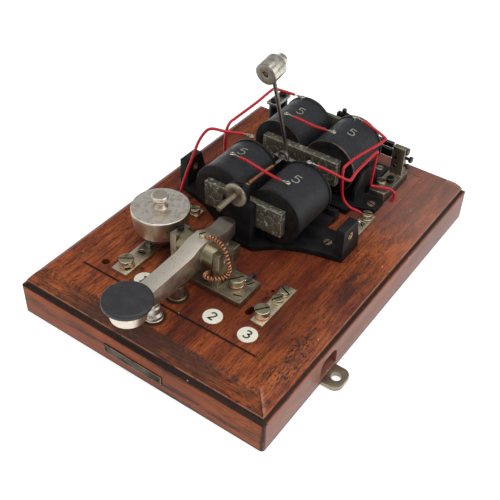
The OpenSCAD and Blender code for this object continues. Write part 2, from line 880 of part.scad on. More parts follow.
module lever_contacts() {
    color("#c9c4b4")
    on_board() {
        translate([0, post_y, contact_tip_z])
            cylinder(r = 1.5, h = 5, $fn = small_fn);
        translate([0, stop_y, 17.6])
            cylinder(r = 1.5, h = 3.2, $fn = small_fn);
    }
}

module pigtail_screw() {
    color("#b3aea0")
    on_board()
        translate([0, -74, lever_screw_z])
            difference() {
                union() {
                    cylinder(r = 2.6, h = 2.2);
                    translate([0, 0, -4.6])
                        cylinder(r = 1.3, h = 5, $fn = small_fn);
                }
                translate([0, 0, 2.2])
                    driver_slot(2.6, 60);
            }
}

module pigtail() {
    line = curled(PIGTAIL_ROUTE, pigtail_curl_r, pigtail_pitch, pigtail_wire_r);
    echo(pigtail_least_gap = least_gap(line, pigtail_wire_r), points = len(line));
    color("#8a5236")
    on_board()
        sweep(line, pigtail_wire_r, curl_sides);
}

module front_contact_post() {
    color("#c9c4b4")
    on_board()
        translate([0, post_y, 0])
            rotate_extrude()
                polygon([
                    [0, 0], [7, 0], [7, 1.2], [6.5, 1.5], [6.5, 4], [5.1, 5.9], [5.1, 10.6],
                    [4, 11.4], [4, post_top_z - 0.6], [3.4, post_top_z], [0, post_top_z]]);
}

module spring_barrel() {
    color("#8c6b4a")
    on_board()
        translate([0, barrel_y, 0])
            difference() {
                union() {
                    cylinder(r = barrel_r + 0.8, h = 1.4);
                    cylinder(r = barrel_r, h = 12.6);
                }
                translate([0, 0, 2])
                    cylinder(r = barrel_bore_r, h = 20);
            }
}

module key_plunger() {
    color("#d8d4ca")
    on_board()
        translate([0, barrel_y, 0])
            rotate_extrude()
                polygon(concat(
                    [[0, 10], [barrel_bore_r - running, 10], [barrel_bore_r - running, 13.1]],
                    [for (a = [0 : 15 : 90])
                        [barrel_bore_r - 1.4 + 1.3 * cos(a), 13.1 + 1.2 * sin(a)]],
                    [[0, 14.3]]));
}

module key_spring() {
    color("#9c9a92")
    on_board()
        translate([0, barrel_y, 2])
            difference() {
                cylinder(r = barrel_bore_r - 0.4, h = 8);
                translate([0, 0, -over])
                    cylinder(r = barrel_bore_r - 1.2, h = 8 + 2 * over);
            }
}

module back_stop_post() {
    color("#9a927c")
    on_board()
        difference() {
            union() {
                block([-4, -54, 0], [11, -44, 12]);
                translate([0, stop_y, 12])
                    cylinder(r = 4.4, h = 3, $fn = 6);
            }
            translate([0, stop_y, -over])
                cylinder(r = 1.8 + snug, h = 20, $fn = small_fn);
        }
}

module back_stop_screw() {
    color("#c2bca6")
    on_board()
        translate([0, stop_y, 0])
            cylinder(r = 1.8, h = 17.5, $fn = small_fn);
}

// Side lug of the bell frame, as [y, height above the board]
lug_outline = [[-5.4, 0], [19, 0], [19, 9], [13, 29.2], [-5.4, 29.2]];

module bell_frame() {
    color("#1b1a1b")
    on_board()
        difference() {
            union() {
                linear_extrude(foot_t)
                    polygon(frame_outline);
                for (side = [0, 1])
                    mirror([side, 0, 0]) {
                        prism_x(lug_outer_x - lug_t, lug_outer_x, lug_outline);
                        prism_x(ear_x, ear_x + ear_t, [[25, 0], [35, 0], [34, 12], [26, 12]]);
                        prism_x(33, 47, [[31, 0], [39, 0], [39, foot_t], [37, 10], [33, 10]]);
                    }
                block([-12.5, centre_lug_front, 0], [12.5, bell_yoke_y, 40.2]);
                block([-7, centre_lug_front, 40.2 - over], [7, bell_yoke_y, 53.2]);
            }
            screw_bores();
            bar_x(-80, 80, insert_y, insert_z, insert_r + snug);
            bar_x(-30, 30, bell_pivot.x, bell_pivot.y, pin_r + snug);
            bar_y(0, -40, -20, spindle_z, spindle_r + running);
            translate([0, -31, spindle_z + 2])
                cylinder(r = 1.4 + snug, h = 12, $fn = small_fn);
        }
}

module lug_inserts() {
    color("#a58a4e")
    on_board()
        for (side = [0, 1])
            mirror([side, 0, 0])
                difference() {
                    bar_x(lug_outer_x - lug_t, lug_outer_x, insert_y, insert_z, insert_r);
                    bar_x(60, 80, insert_y, insert_z, insert_bore_r);
                }
}

// Iron bar that joins the ends of two cores
module yoke(y, t, x) {
    difference() {
        block([-yoke_half_w, y, yoke_z], [yoke_half_w, y + t, yoke_z + yoke_h]);
        for (side = [-1, 1])
            bar_y(side * x, y - over, y + t + over, coil_z, tenon_r + snug);
    }
}

module magnet_yokes() {
    color("#6b685c")
    on_board() {
        yoke(bell_yoke_y, bell_yoke_t, bell_coil_x);
        yoke(relay_yoke_y, relay_yoke_t, relay_coil_x);
    }
}

// Iron core with a tenon in its yoke and a pole end past the coil
module core(x, yoke_face, coil_face, length) {
    bar_y(x, yoke_face, coil_face + length / 2, coil_z, tenon_r);
    bar_y(x, coil_face, coil_face + length + pole_out, coil_z, core_r);
}

module magnet_cores() {
    color("#8a867c")
    on_board()
        for (side = [-1, 1]) {
            core(side * bell_coil_x, bell_yoke_y, bell_coil_y, bell_coil_l);
            core(side * relay_coil_x, relay_yoke_y, relay_coil_y, relay_coil_l);
        }
}

// Bobbin along Y: a tube with a flange at each end
module bobbin(x, y, length) {
    translate([x, y, coil_z])
        rotate([-90, 0, 0])
            rotate_extrude()
                polygon([
                    [core_r + snug, 0], [coil_r, 0], [coil_r, flange_t], [7, flange_t],
                    [7, length - flange_t], [coil_r, length - flange_t], [coil_r, length],
                    [core_r + snug, length]]);
}

// Winding between the flanges of a bobbin
module winding(x, y, length) {
    translate([x, y, coil_z])
        rotate([-90, 0, 0])
            rotate_extrude()
                polygon([
                    [7 + snug, flange_t], [coil_r - winding_inset, flange_t],
                    [coil_r - winding_inset, length - flange_t], [7 + snug, length - flange_t]]);
}

module coil_bobbins() {
    color("#151416")
    on_board()
        for (side = [-1, 1]) {
            bobbin(side * bell_coil_x, bell_coil_y, bell_coil_l);
            bobbin(side * relay_coil_x, relay_coil_y, relay_coil_l);
        }
}

module coil_windings() {
    color("#2c2d38")
    on_board()
        for (side = [-1, 1]) {
            winding(side * bell_coil_x, bell_coil_y, bell_coil_l);
            winding(side * relay_coil_x, relay_coil_y, relay_coil_l);
        }
}

module coil_eyelets() {
    color("#cdbf9a")
    on_board()
        for (e = EYELETS) {
            coil_x = sign(e.x) * (e.y < 40 ? bell_coil_x : relay_coil_x);
            wound_r = coil_r - winding_inset;
            foot = coil_z + sqrt(wound_r * wound_r - pow(e.x - coil_x, 2));
            translate([e.x, e.y, foot])
                cylinder(r = 0.6, h = e.z - foot, $fn = small_fn);
            translate(e)
                rotate_extrude($fn = small_fn)
                    translate([1.3, 0])
                        circle(0.75, $fn = 16);
        }
}

module tension_spindle() {
    color("#b09a78")
    on_board()
        bar_y(0, -56.3, -19, spindle_z, spindle_r);
}

module thumb_nut() {
    color("#a39a80")
    on_board()
        translate([0, -36.4, spindle_z])
            rotate([-90, 0, 0])
                rotate_extrude()
                    polygon([
                        [spindle_r + running, 0], [nut_r - 0.5, 0], [nut_r, 0.5], [nut_r, 1],
                        [nut_r - 0.5, 1.5], [spindle_r + 1.5, 1.5], [spindle_r + 1.5, 2],
                        [spindle_r + running, 2]]);
}

module retracting_spring() {
    line = curled(SPRING_ROUTE, spring_curl_r, spring_pitch, spring_wire_r);
    echo(spring_least_gap = least_gap(line, spring_wire_r), points = len(line));
    color("#b0774f")
    on_board()
        sweep(line, spring_wire_r, curl_sides);
}

// Right leg of an armature, round its pivot
module armature_leg(pivot) {
    translate([0, pivot.x, pivot.y])
        prism_x(leg_in_x, leg_in_x + leg_t, leg_outline);
}

module bell_armature() {
    color("#b7a98a")
    on_board()
        difference() {
            union() {
                block([-30, armature_y, 17], [30, armature_y + armature_t, 39]);
                block([-9, armature_y, 39 - over], [11, armature_y + armature_t, 43.2]);
                for (side = [0, 1])
                    mirror([side, 0, 0])
                        armature_leg(bell_pivot);
                block([-2.8, armature_y + armature_t - over, 27], [2.8, 35.8, 38]);
            }
            bar_x(-40, 40, bell_pivot.x, bell_pivot.y, pin_r + running);
            bar_in_middle(rod_foot, rod_bend, rod_r + snug);
        }
}

// Round-topped outline of the arch
module arch_outline(r) {
    hull() {
        translate([0.8, 47.3])
            circle(r, $fn = small_fn);
        translate([0.8 - r, 45.4])
            square([2 * r, 1]);
    }
}

module arch_bracket() {
    color("#a08b62")
    on_board() {
        translate([0, 27.2, 0])
            rotate([90, 0, 0])
                linear_extrude(2.6)
                    difference() {
                        arch_outline(4.2);
                        arch_outline(2.8);
                    }
        block([-3.4, 24.2, 43.2], [5, armature_y, 45.6]);
        block([-3, 24.2, 40], [3, armature_y, 44]);
        block([-1.1, 16.5, 43.3], [1.1, 25, 45.5]);
    }
}

module hammer_rod() {
    color("#8d8980")
    on_board() {
        bar_in_middle(rod_foot, rod_bend, rod_r);
        translate([0, rod_bend.x, rod_bend.y])
            sphere(rod_r + 0.1);
        bar_in_middle(rod_bend, rod_end, rod_r);
    }
}

module hammer_head() {
    color("#b1ada1")
    on_board()
        difference() {
            translate([0, head_face.x, head_face.y])
                rotate([head_tilt - 90, 0, 0])
                    rotate_extrude()
                        polygon([
                            [2.2, 0], [head_r - 0.6, 0], [head_r, 0.6], [head_r, head_l],
                            [4.2, 19.5], [4, 21.4], [1.5 + snug, 21.4], [1.5 + snug, 13],
                            [0, 13], [0, 5], [2.2, 5]]);
            bar_in_middle(rod_bend, rod_end, rod_r + snug);
        }
}

module hammer_screw() {
    color("#2b2a2a")
    on_board()
        translate([0, head_face.x, head_face.y])
            rotate([head_tilt - 90, 0, 0])
                translate([0, 0, 13])
                    difference() {
                        cylinder(r = 1.5, h = 9.6, $fn = small_fn);
                        translate([0, 0, 9.6])
                            driver_slot(1.5, 0);
                    }
}

module pivot_pins() {
    color("#b8b4aa")
    on_board() {
        bar_x(-ear_x - ear_t, ear_x + ear_t, bell_pivot.x, bell_pivot.y, pin_r);
        bar_x(-ear_x - ear_t, ear_x + ear_t, relay_pivot.x, relay_pivot.y, pin_r);
    }
}

// Cheek of the relay frame, as [y, height above the board]
cheek_outline = [[58, 0], [97, 0], [95, 14], [80, 28.2], [66, 28.2], [58, 16]];

module relay_frame() {
    color("#1b1a1b")
    on_board()
        difference() {
            union() {
                block([-49.4, 46, 0], [49.4, 119, foot_t]);
                for (side = [0, 1])
                    mirror([side, 0, 0]) {
                        linear_extrude(foot_t)
                            polygon([[48, 52.3], [66.9, 60.6], [66.9, 75], [48, 75]]);
                        prism_x(46.8, 49.4, cheek_outline);
                        prism_x(ear_x, ear_x + ear_t, [[104, 0], [114, 0], [113, 12], [105, 12]]);
                    }
                block([-20, relay_yoke_y, 0], [20, relay_coil_y - 0.2, yoke_z]);
                block([-4, 115, 0], [8, 119, 40]);
            }
            screw_bores();
            bar_x(-40, 40, relay_pivot.x, relay_pivot.y, pin_r + snug);
            bar_y(2, 114, 120, 36, 1.5 + snug);
        }
}

module relay_armature() {
    color("#77736a")
    on_board()
        difference() {
            union() {
                block([-30, 107, 17], [30, 110.5, 40]);
                for (side = [0, 1])
                    mirror([side, 0, 0])
                        armature_leg(relay_pivot);
            }
            bar_x(-40, 40, relay_pivot.x, relay_pivot.y, pin_r + running);
        }
}

module contact_arms() {
    color("#1a1a1b")
    on_board() {
        for (z = contact_arm_spans)
            block([22, 110.5, z[0]], [52.7, 113.3, z[1]]);
    }
}

module contact_bracket() {
    color("#b3aea0")
    on_board()
        difference() {
            union() {
                block([52.6, 75.8, 5], [66, 117.7, 8]);
                block([52.6, 75.8, 8 - 0.5], [66, 82, 10.2]);
                block([54, 108, 8 - over], [bracket_x, 113, 34]);
            }
            screw_bores();
            for (z = contact_screw_z)
                bar_y(contact_screw_x, 100, 120, z, contact_screw_r + snug);
        }
}

module bracket_insulator() {
    color("#1a1818")
    on_board()
        difference() {
            block([52.3, 75.5, 0], [66.3, 118, 5]);
            screw_bores();
        }
}

module contact_screws() {
    color("#232222")
    on_board() {
        for (z = contact_screw_z) {
            bar_y(contact_screw_x, 106.6, 116, z, contact_screw_r);
            bar_y(contact_screw_x, 113, 115.2, z, 3);
        }
        bar_x(bracket_x, bracket_x + 1.5, 111.5, 31, 3);
        bar_x(bracket_x, bracket_x + 5, 111.5, 24.8, 1.3);
        bar_x(bracket_x + 3, bracket_x + 5.5, 111.5, 24.8, 2.6);
        bar_x(bracket_x, bracket_x + 3.5, 111, 18, 1.2);
        bar_x(bracket_x + 1.8, bracket_x + 3.8, 111, 18, 2.2);
        translate([60.5, 97, 8])
            cylinder(r = 3.2, h = 4);
    }
}

module left_bracket() {
    color("#8f8b80")
    on_board()
        difference() {
            block([-66, 102, 31.2], [-55.5, 124, 33.7]);
            for (y = [106, 120])
                translate([-60.75, y, 30])
                    cylinder(r = 1.6 + snug, h = 5, $fn = small_fn);
        }
}

module left_bracket_posts() {
    color("#1b1a1b")
    on_board()
        for (y = [106, 120])
            translate([-60.75, y, 0]) {
                cylinder(r = 4.2, h = 31.2);
                cylinder(r = 1.6, h = 33.7 + 0.5, $fn = small_fn);
                translate([0, 0, 33.7])
                    difference() {
                        cylinder(r = 3, h = 1.8);
                        translate([0, 0, 1.8])
                            driver_slot(3, 40);
                    }
            }
}

module relay_adjuster() {
    color("#2b2a2a")
    on_board() {
        bar_y(2, 111.4, 121, 36, 1.5);
        bar_y(2, 119, 121.5, 36, 3.2);
        translate([2, 117, 40])
            cylinder(r = 0.9, h = 2, $fn = small_fn);
        translate([2, 117, 43])
            sphere(2);
    }
}

module coil_wires() {
    color("#c01824")
    on_board()
        for (route = concat(LEFT_WIRES, JUMPERS, RIGHT_WIRES))
            sweep(route, wire_r, wire_sides);
}

// Bare wire ends, bent round the terminal screws under their heads
// Loop of bare wire under the head of a screw
module wire_loop(s, r) {
    translate([s[0], s[1], s[2] - loop_t / 2])
        rotate_extrude($fn = small_fn)
            translate([r, 0])
                circle(loop_t / 2, $fn = 16);
}

module wire_tails() {
    color("#b06a45")
    on_board() {
        for (s = BIG_SCREWS)
            wire_loop(s, big_loop_r);
        for (i = [2, 4])
            wire_loop(SMALL_SCREWS[i], small_loop_r);
        sweep(LINE_TAIL, loop_t / 2 - 0.1, wire_sides);
    }
}

module line_lead() {
    color("#1a1a1c")
    on_board()
        sweep(LINE_LEAD, wire_r, wire_sides);
}

// One straight stretch of wire in a channel
module channel_wire(from, to, z) {
    d = to - from;
    translate([from.x, from.y, z])
        rotate([0, 90, atan2(d.y, d.x)])
            cylinder(r = wire_r, h = norm(d), $fn = small_fn);
}

module board_wiring() {
    color("#9e2a2c")
    for (run = RUNS) {
        p = run[0];
        z = run[1];
        for (i = [0 : len(p) - 2])
            channel_wire(p[i], p[i + 1], z);
        for (corner = p)
            translate([corner.x, corner.y, z])
                sphere(wire_r, $fn = small_fn);
        for (end = [p[0], p[len(p) - 1]])
            translate([end.x, end.y, z])
                cylinder(r = wire_r, h = base_h - 2 - z, $fn = small_fn);
    }
}

base_board();
mounting_plates();
nameplate();
nameplate_pins();
terminal_discs();
earth_strip();
zinc_strip();
link_strips();
terminal_screws();
small_screws();
countersunk_screws();
protector_pillars();
protector_base();
protector_reel();
protector_cap();
protector_knob();
key_frame();
key_axle();
set_screws();
key_lever();
key_knob();
knob_screw();
lever_contacts();
pigtail_screw();
pigtail();
front_contact_post();
spring_barrel();
key_plunger();
key_spring();
back_stop_post();
back_stop_screw();
bell_frame();
lug_inserts();
magnet_yokes();
magnet_cores();
coil_bobbins();
coil_windings();
coil_eyelets();
tension_spindle();
thumb_nut();
retracting_spring();
bell_armature();
arch_bracket();
hammer_rod();
hammer_head();
hammer_screw();
pivot_pins();
relay_frame();
relay_armature();
contact_arms();
contact_bracket();
bracket_insulator();
contact_screws();
left_bracket();
left_bracket_posts();
relay_adjuster();
coil_wires();
wire_tails();
line_lead();
board_wiring();
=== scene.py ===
"""Looks of a railway block bell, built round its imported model. Lengths are in metres."""

import functools
import logging
import math
from dataclasses import dataclass
from enum import Enum
from typing import Callable, Mapping, Optional, Sequence, Union

import bmesh
import bpy
from mathutils import Matrix, Vector


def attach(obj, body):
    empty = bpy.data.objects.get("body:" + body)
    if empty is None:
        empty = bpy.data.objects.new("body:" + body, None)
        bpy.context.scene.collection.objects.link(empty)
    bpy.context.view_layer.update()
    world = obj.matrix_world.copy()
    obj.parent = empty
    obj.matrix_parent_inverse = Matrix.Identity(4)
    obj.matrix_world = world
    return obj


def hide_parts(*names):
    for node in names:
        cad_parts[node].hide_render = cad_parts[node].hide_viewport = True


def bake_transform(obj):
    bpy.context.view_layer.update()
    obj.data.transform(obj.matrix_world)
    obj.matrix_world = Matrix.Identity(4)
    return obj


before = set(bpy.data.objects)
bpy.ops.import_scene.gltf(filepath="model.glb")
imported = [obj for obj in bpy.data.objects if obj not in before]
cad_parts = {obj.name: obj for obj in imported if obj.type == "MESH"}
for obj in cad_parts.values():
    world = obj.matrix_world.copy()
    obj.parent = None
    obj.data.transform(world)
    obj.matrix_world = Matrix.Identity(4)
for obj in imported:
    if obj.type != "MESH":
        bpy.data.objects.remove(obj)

log = logging.getLogger("block_bell")
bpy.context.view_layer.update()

MM = 0.001
BOARD_TOP = 0.0398
SHARP_ANGLE = math.radians(38)
FLAT_ANGLE = math.radians(0.6)
CORNER_ANGLE = math.radians(25)
EDGE_SHARE = 0.42
SAME_PLACE = 2e-6
WIRE_STEP = 0.7
WIRE_STEPS_A_TURN = 20
SHANK = 1.6
SCREW_LENGTH = 15.0
UP = Vector((0, 0, 1))
BACK = Vector((0, 1, 0))
RIGHT = Vector((1, 0, 0))

BMesh = bmesh.types.BMesh
Socket = bpy.types.NodeSocket
Colour = tuple[float, float, float]
Route = Sequence[tuple[float, float, float]]
Profile = Sequence[tuple]
Value = Union[float, Sequence[float], Socket]


def on_board(x: float, y: float, z: float) -> Vector:
    """A point given in millimetres, with its height above the board's top face."""
    return Vector((x * MM, y * MM, z * MM + BOARD_TOP))


# Materials


class Tree:
    """A node tree, with short ways to add nodes to it."""

    def __init__(self, tree: bpy.types.NodeTree) -> None:
        """Takes over a node tree and empties it."""
        tree.nodes.clear()
        self.tree = tree

    def put(
        self,
        kind: str,
        settings: Optional[Mapping[str, str]] = None,
        sockets: Optional[Mapping[Union[str, int], Value]] = None,
    ) -> bpy.types.Node:
        """Adds a node.

        Args:
            kind: its type, where a leading ShaderNode may be left out.
            settings: its properties.
            sockets: a number, colour or socket for each of its inputs.

        Returns:
            The node.
        """
        node = self.tree.nodes.new(kind if "Node" in kind else "ShaderNode" + kind)
        for key, value in (settings or {}).items():
            setattr(node, key, value)
        for key, value in (sockets or {}).items():
            self.feed(node.inputs[key], value)
        return node

    def feed(self, socket: Socket, value: Value) -> None:
        """Links a socket to another one, or sets its number or colour."""
        if isinstance(value, Socket):
            self.tree.links.new(value, socket)
        elif socket.type == "RGBA":
            socket.default_value = (*value, 1.0)
        else:
            socket.default_value = value

    def calc(self, how: str, a: Value, b: Value = 0.0) -> Socket:
        """One step of arithmetic."""
        return self.put("Math", {"operation": how}, {0: a, 1: b}).outputs[0]

    def vector(self, how: str, a: Value, b: Value = (0.0, 0.0, 0.0)) -> Socket:
        """One step of vector arithmetic; b is a number where it scales."""
        node = self.put("VectorMath", {"operation": how}, {0: a, 3 if how == "SCALE" else 1: b})
        return node.outputs["Value" if how in ("DISTANCE", "DOT_PRODUCT") else "Vector"]

    def split(self, fac: Value, one: bpy.types.Node, other: bpy.types.Node, output: str) -> None:
        """Ends the tree with one shader where fac is 0 and another where it is 1."""
        mix = self.put("MixShader", None, {0: fac, 1: one.outputs[0], 2: other.outputs[0]})
        self.put(output, None, {0: mix.outputs[0]})


class Shader(Tree):
    """A material's node tree, with short ways to add what the finishes are made of."""

    def __init__(self, name: str) -> None:
        """Starts a material with a Principled shader.

        Args:
            name: the material's name.
        """
        self.material = bpy.data.materials.new(name)
        self.material.use_nodes = True
        super().__init__(self.material.node_tree)
        self.surface = self.put("BsdfPrincipled")
        self.put("OutputMaterial", None, {"Surface": self.surface.outputs["BSDF"]})
        self.place = self.put("TexCoord").outputs["Object"]

    def set(self, **values: Value) -> None:
        """Sets inputs of the Principled shader, named with _ for each space."""
        for key, value in values.items():
            name = key.replace("_", " ").title().replace("Ior", "IOR")
            self.feed(self.surface.inputs[name], value)

    def now(self, name: str) -> Socket:
        """What is linked to an input of the Principled shader."""
        return self.surface.inputs[name].links[0].from_socket

    def tint(self, fac: Value, colour: Colour) -> None:
        """Lays one more colour over what the shader has."""
        self.set(base_color=self.mix(fac, self.now("Base Color"), colour))

    def stretched(self, stretch: Union[float, Sequence[float]], place: Optional[Value]) -> Value:
        """The pattern's coordinates, multiplied by one number or one for each axis."""
        if isinstance(stretch, (int, float)):
            stretch = (stretch,) * 3
        sockets = {"Vector": place or self.place, "Scale": stretch}
        return self.put("Mapping", None, sockets).outputs[0]

    def noise(
        self,
        stretch: Union[float, Sequence[float]],
        detail: float = 4.0,
        rough: float = 0.55,
        place: Optional[Value] = None,
    ) -> Value:
        """Soft noise.

        Args:
            stretch: patches per metre, one number or one for each axis.
            detail: how many finer layers it has.
            rough: how strong the finer layers are.
            place: its coordinates, if not the object's own.

        Returns:
            A socket between 0 and 1.
        """
        where = self.stretched(stretch, place)
        sockets = {"Vector": where, "Scale": 1.0, "Detail": detail, "Roughness": rough}
        return self.put("TexNoise", None, sockets).outputs[0]

    def away_from(self, point: Sequence[float], place: Optional[Value] = None) -> Value:
        """Distance from a point, of the object's own coordinates or of others."""
        return self.vector("DISTANCE", place or self.place, point)

    def ramp(self, value: Value, low: float, high: float, top: float = 1.0) -> Value:
        """Goes smoothly from 0 at low to top at high; low may be above high."""
        ends = (high, low, top, 0.0) if low > high else (low, high, 0.0, top)
        sockets = dict(enumerate((value, *ends)))
        settings = {"interpolation_type": "SMOOTHSTEP"}
        return self.put("MapRange", settings, sockets).outputs[0]

    def both(self, *masks: Value) -> Value:
        """The product of several masks."""
        return functools.reduce(functools.partial(self.calc, "MULTIPLY"), masks)

    def most(self, *masks: Value) -> Value:
        """The greatest of several masks."""
        return functools.reduce(functools.partial(self.calc, "MAXIMUM"), masks)

    def mix(self, fac: Value, a: Value, b: Value) -> Value:
        """Mixes two colours, b over a."""
        return self.put("Mix", {"data_type": "RGBA"}, {0: fac, 6: a, 7: b}).outputs[2]

    def layered(self, base: Value, *layers: tuple[Value, Colour]) -> Value:
        """Lays colours over a first one, each with its own mask."""
        for mask, colour in layers:
            base = self.mix(mask, base, colour)
        return base

    def spots(self, scale: Union[float, Sequence[float]], size: float, share: float) -> Value:
        """Scattered round spots.

        Args:
            scale: cells per metre, one number or one for each axis.
            size: a spot's radius in cells.
            share: the share of the cells that hold one.

        Returns:
            A socket that is 1 in a spot and 0 outside.
        """
        sockets = {"Vector": self.stretched(scale, None), "Scale": 1.0}
        cells = self.put("TexVoronoi", None, sockets).outputs
        red = self.put("SeparateColor", None, {0: cells["Color"]}).outputs[0]
        inside = self.ramp(cells["Distance"], size, size * 0.6)
        return self.both(inside, self.calc("GREATER_THAN", red, 1.0 - share))

    def near(self, centre: Sequence[float], inner: float, outer: float) -> Value:
        """1 within inner metres of a place, and 0 past outer metres."""
        return self.ramp(self.away_from(centre), outer, inner)

    def attribute(self, name: str, output: str = "Fac") -> Value:
        """What a mesh's own attribute says."""
        return self.put("Attribute", {"attribute_name": name}).outputs[output]

    def axis(self, letter: str) -> Value:
        """One of the object's coordinates."""
        return self.put("SeparateXYZ", None, {0: self.place}).outputs[letter]

    def side(self, letter: str) -> Value:
        """How far to either side one of the object's coordinates is."""
        return self.calc("ABSOLUTE", self.axis(letter))

    def gap(self, letter: str, at: float) -> Value:
        """How far one of the object's coordinates is from a value."""
        return self.calc("ABSOLUTE", self.calc("SUBTRACT", self.axis(letter), at))

    def bump(self, height: Value, depth: float, below: Optional[Value] = None) -> Value:
        """A normal for a relief that is depth metres deep, over another one."""
        sockets = {"Height": height, "Distance": depth, "Strength": 1.0}
        if below is not None:
            sockets["Normal"] = below
        return self.put("Bump", None, sockets).outputs[0]


@dataclass(frozen=True)
class Finish:
    """What every finish has: its name and the slot of the record that it stands for."""

    name: str
    slot: str

    def paint(self, s: Shader) -> None:
        """Adds the finish's own nodes."""
        raise NotImplementedError

    @functools.cache
    def material(self) -> bpy.types.Material:
        """The finish's material, made on first use."""
        s = Shader(self.name)
        self.paint(s)
        return s.material


@dataclass(frozen=True)
class Mahogany(Finish):
    """Old varnished mahogany with streaks, pores, worn and dirty places, painted shade and painted
    reflection.
    """

    deep: Colour = (0.050, 0.013, 0.007)
    red: Colour = (0.240, 0.044, 0.016)
    orange: Colour = (0.52, 0.125, 0.030)
    band: Colour = (0.060, 0.032, 0.023)
    dirt_and_shade: Colour = (0.012, 0.008, 0.007)
    arris: Colour = (0.50, 0.22, 0.13)
    painted_shade_red: Colour = (0.085, 0.014, 0.006)
    painted_reflection: Colour = (0.44, 0.26, 0.215)
    pocket_brown: Colour = (0.25, 0.105, 0.080)
    fleck: Colour = (0.6, 0.5, 0.42)
    half_width: float = 0.108
    half_length: float = 0.1525
    side_top: float = 0.0254
    lip_top: float = 0.0295
    post_y: float = -0.1295
    barrel_y: float = -0.104
    ring: tuple[float, float] = (0.0100, 0.0078)

    def paint(self, s: Shader) -> None:
        """Streaks along the grain, then bands, worn patches, pores, dirty marks, painted shade,
        painted reflection and wear.
        """
        grain = s.attribute("grain", "Vector")
        streak = s.ramp(s.noise((95, 7, 95), 6, 0.66, grain), 0.36, 0.58)
        glow = s.ramp(s.noise((40, 12, 40), 5, 0.66, grain), 0.40, 0.66, 0.85)
        bands = s.ramp(s.noise((26, 2.2, 26), 4, 0.6, grain), 0.55, 0.67, 0.75)
        rough_patch = s.ramp(s.noise((170, 60, 170), 6, 0.74, grain), 0.36, 0.58)
        fine = s.noise((1100, 45, 1100), 3, 0.6, grain)
        pores = s.ramp(s.noise((1500, 240, 1500), 2, 0.5, grain), 0.42, 0.34)
        # Painted shade: a deeper red over the board's middle, near the frames.
        painted_shade_red = s.both(s.near((0.040, -0.070, 0.04), 0.015, 0.085), 0.55)
        front = s.both(s.ramp(s.axis("Y"), -0.1518, -0.1524, 0.4), s.ramp(streak, 0.2, 0.8))
        # Painted reflection: paler towards the top's right rear corner and on the right side face.
        rear = s.both(s.near((0.100, 0.110, 0.04), 0.03, 0.10), 0.3)
        side = s.ramp(s.axis("X"), 0.1070, 0.1078, 0.5)
        edge = s.both(s.attribute("arris"), s.ramp(s.noise(180, 4), 0.38, 0.6), 0.6)
        # A light line along the lip's edge: painted highlight.
        lip = s.ramp(s.gap("Z", self.lip_top + 0.0003), 0.0005, 0.0002)
        lip = s.both(lip, s.ramp(s.noise(90, 4), 0.36, 0.55), 0.6)
        colour = s.layered(
            self.deep, (streak, self.red), (glow, self.orange),
            (s.most(bands, self.browned_and_shaded_places(s)), self.band),
            (s.both(self.worn_places(s), rough_patch, 0.85), self.orange),
            (s.ramp(fine, 0.66, 0.36, 0.6), self.deep), (s.both(pores, 0.85), self.dirt_and_shade),
            (painted_shade_red, self.painted_shade_red), (front, self.orange), (s.most(rear, side), self.painted_reflection),
            (self.pocket(s), self.pocket_brown), (self.grime_and_shade(s), self.dirt_and_shade), *self.mitres(s),
            (s.most(edge, lip), self.arris), (s.both(s.spots(260, 0.16, 0.03), 0.7), self.fleck),
        )
        s.set(base_color=colour, coat_weight=0.1, coat_roughness=0.14, coat_ior=1.45)
        s.set(specular_ior_level=0.16, roughness=s.calc("ADD", 0.40, s.both(fine, 0.2)))
        relief = s.calc("SUBTRACT", fine, s.both(pores, 0.6))
        s.set(normal=s.bump(relief, 0.00006, s.bump(s.noise(60, 2), 0.0002)))

    def browned_and_shaded_places(self, s: Shader) -> Value:
        """Browned varnish along the right edge, and painted shade on the front moulding."""
        blotches = s.ramp(s.noise((150, 60, 150), 5, 0.7), 0.40, 0.58)
        right = s.both(
            blotches, s.ramp(s.axis("X"), 0.074, 0.088), s.ramp(s.axis("Z"), 0.036, 0.0385), 0.6
        )
        # Painted shade on the front moulding, on the front side of the mitres.
        front = s.both(
            s.ramp(s.axis("Y"), -0.1370, -0.1390), s.ramp(s.axis("Z"), 0.0290, 0.0296),
            s.ramp(s.noise((60, 90, 90), 4, 0.6), 0.24, 0.50, 0.85),
            s.ramp(self.skew(s), -0.0008, 0.0004),
        )
        return s.most(right, front)

    def skew(self, s: Shader) -> Value:
        """How far a place is on the front or back side of the corners' mitres."""
        past = s.calc("SUBTRACT", s.side("Y"), s.side("X"))
        return s.calc("SUBTRACT", past, self.half_length - self.half_width)

    def mitres(self, s: Shader) -> list[tuple[Value, Colour]]:
        """A dark line along each corner's mitre, and a painted highlight on the side moulding
        beside it, as two layers.
        """
        skew = self.skew(s)
        slope = s.both(s.ramp(s.side("X"), 0.0935, 0.0950), s.ramp(s.axis("Z"), 0.0293, 0.0299))
        # Painted highlight on the side moulding beside each mitre.
        beside = s.both(
            s.ramp(skew, -0.0050, -0.0010), s.ramp(skew, 0.0001, -0.0003),
            s.ramp(s.noise((500, 260, 500), 4, 0.7), 0.40, 0.55), slope, 0.75,
        )
        line = s.both(s.ramp(s.calc("ABSOLUTE", skew), 0.0006, 0.0002), slope, 0.85)
        return [(beside, self.arris), (line, self.dirt_and_shade)]

    def pocket(self, s: Shader) -> Value:
        """Inside the pockets above the mounting plates."""
        return s.both(
            s.ramp(s.side("X"), 0.1078, 0.1074), s.ramp(s.gap("Y", -0.07235), 0.0118, 0.0110),
            s.ramp(s.axis("Z"), 0.0260, 0.0250, 0.75),
        )

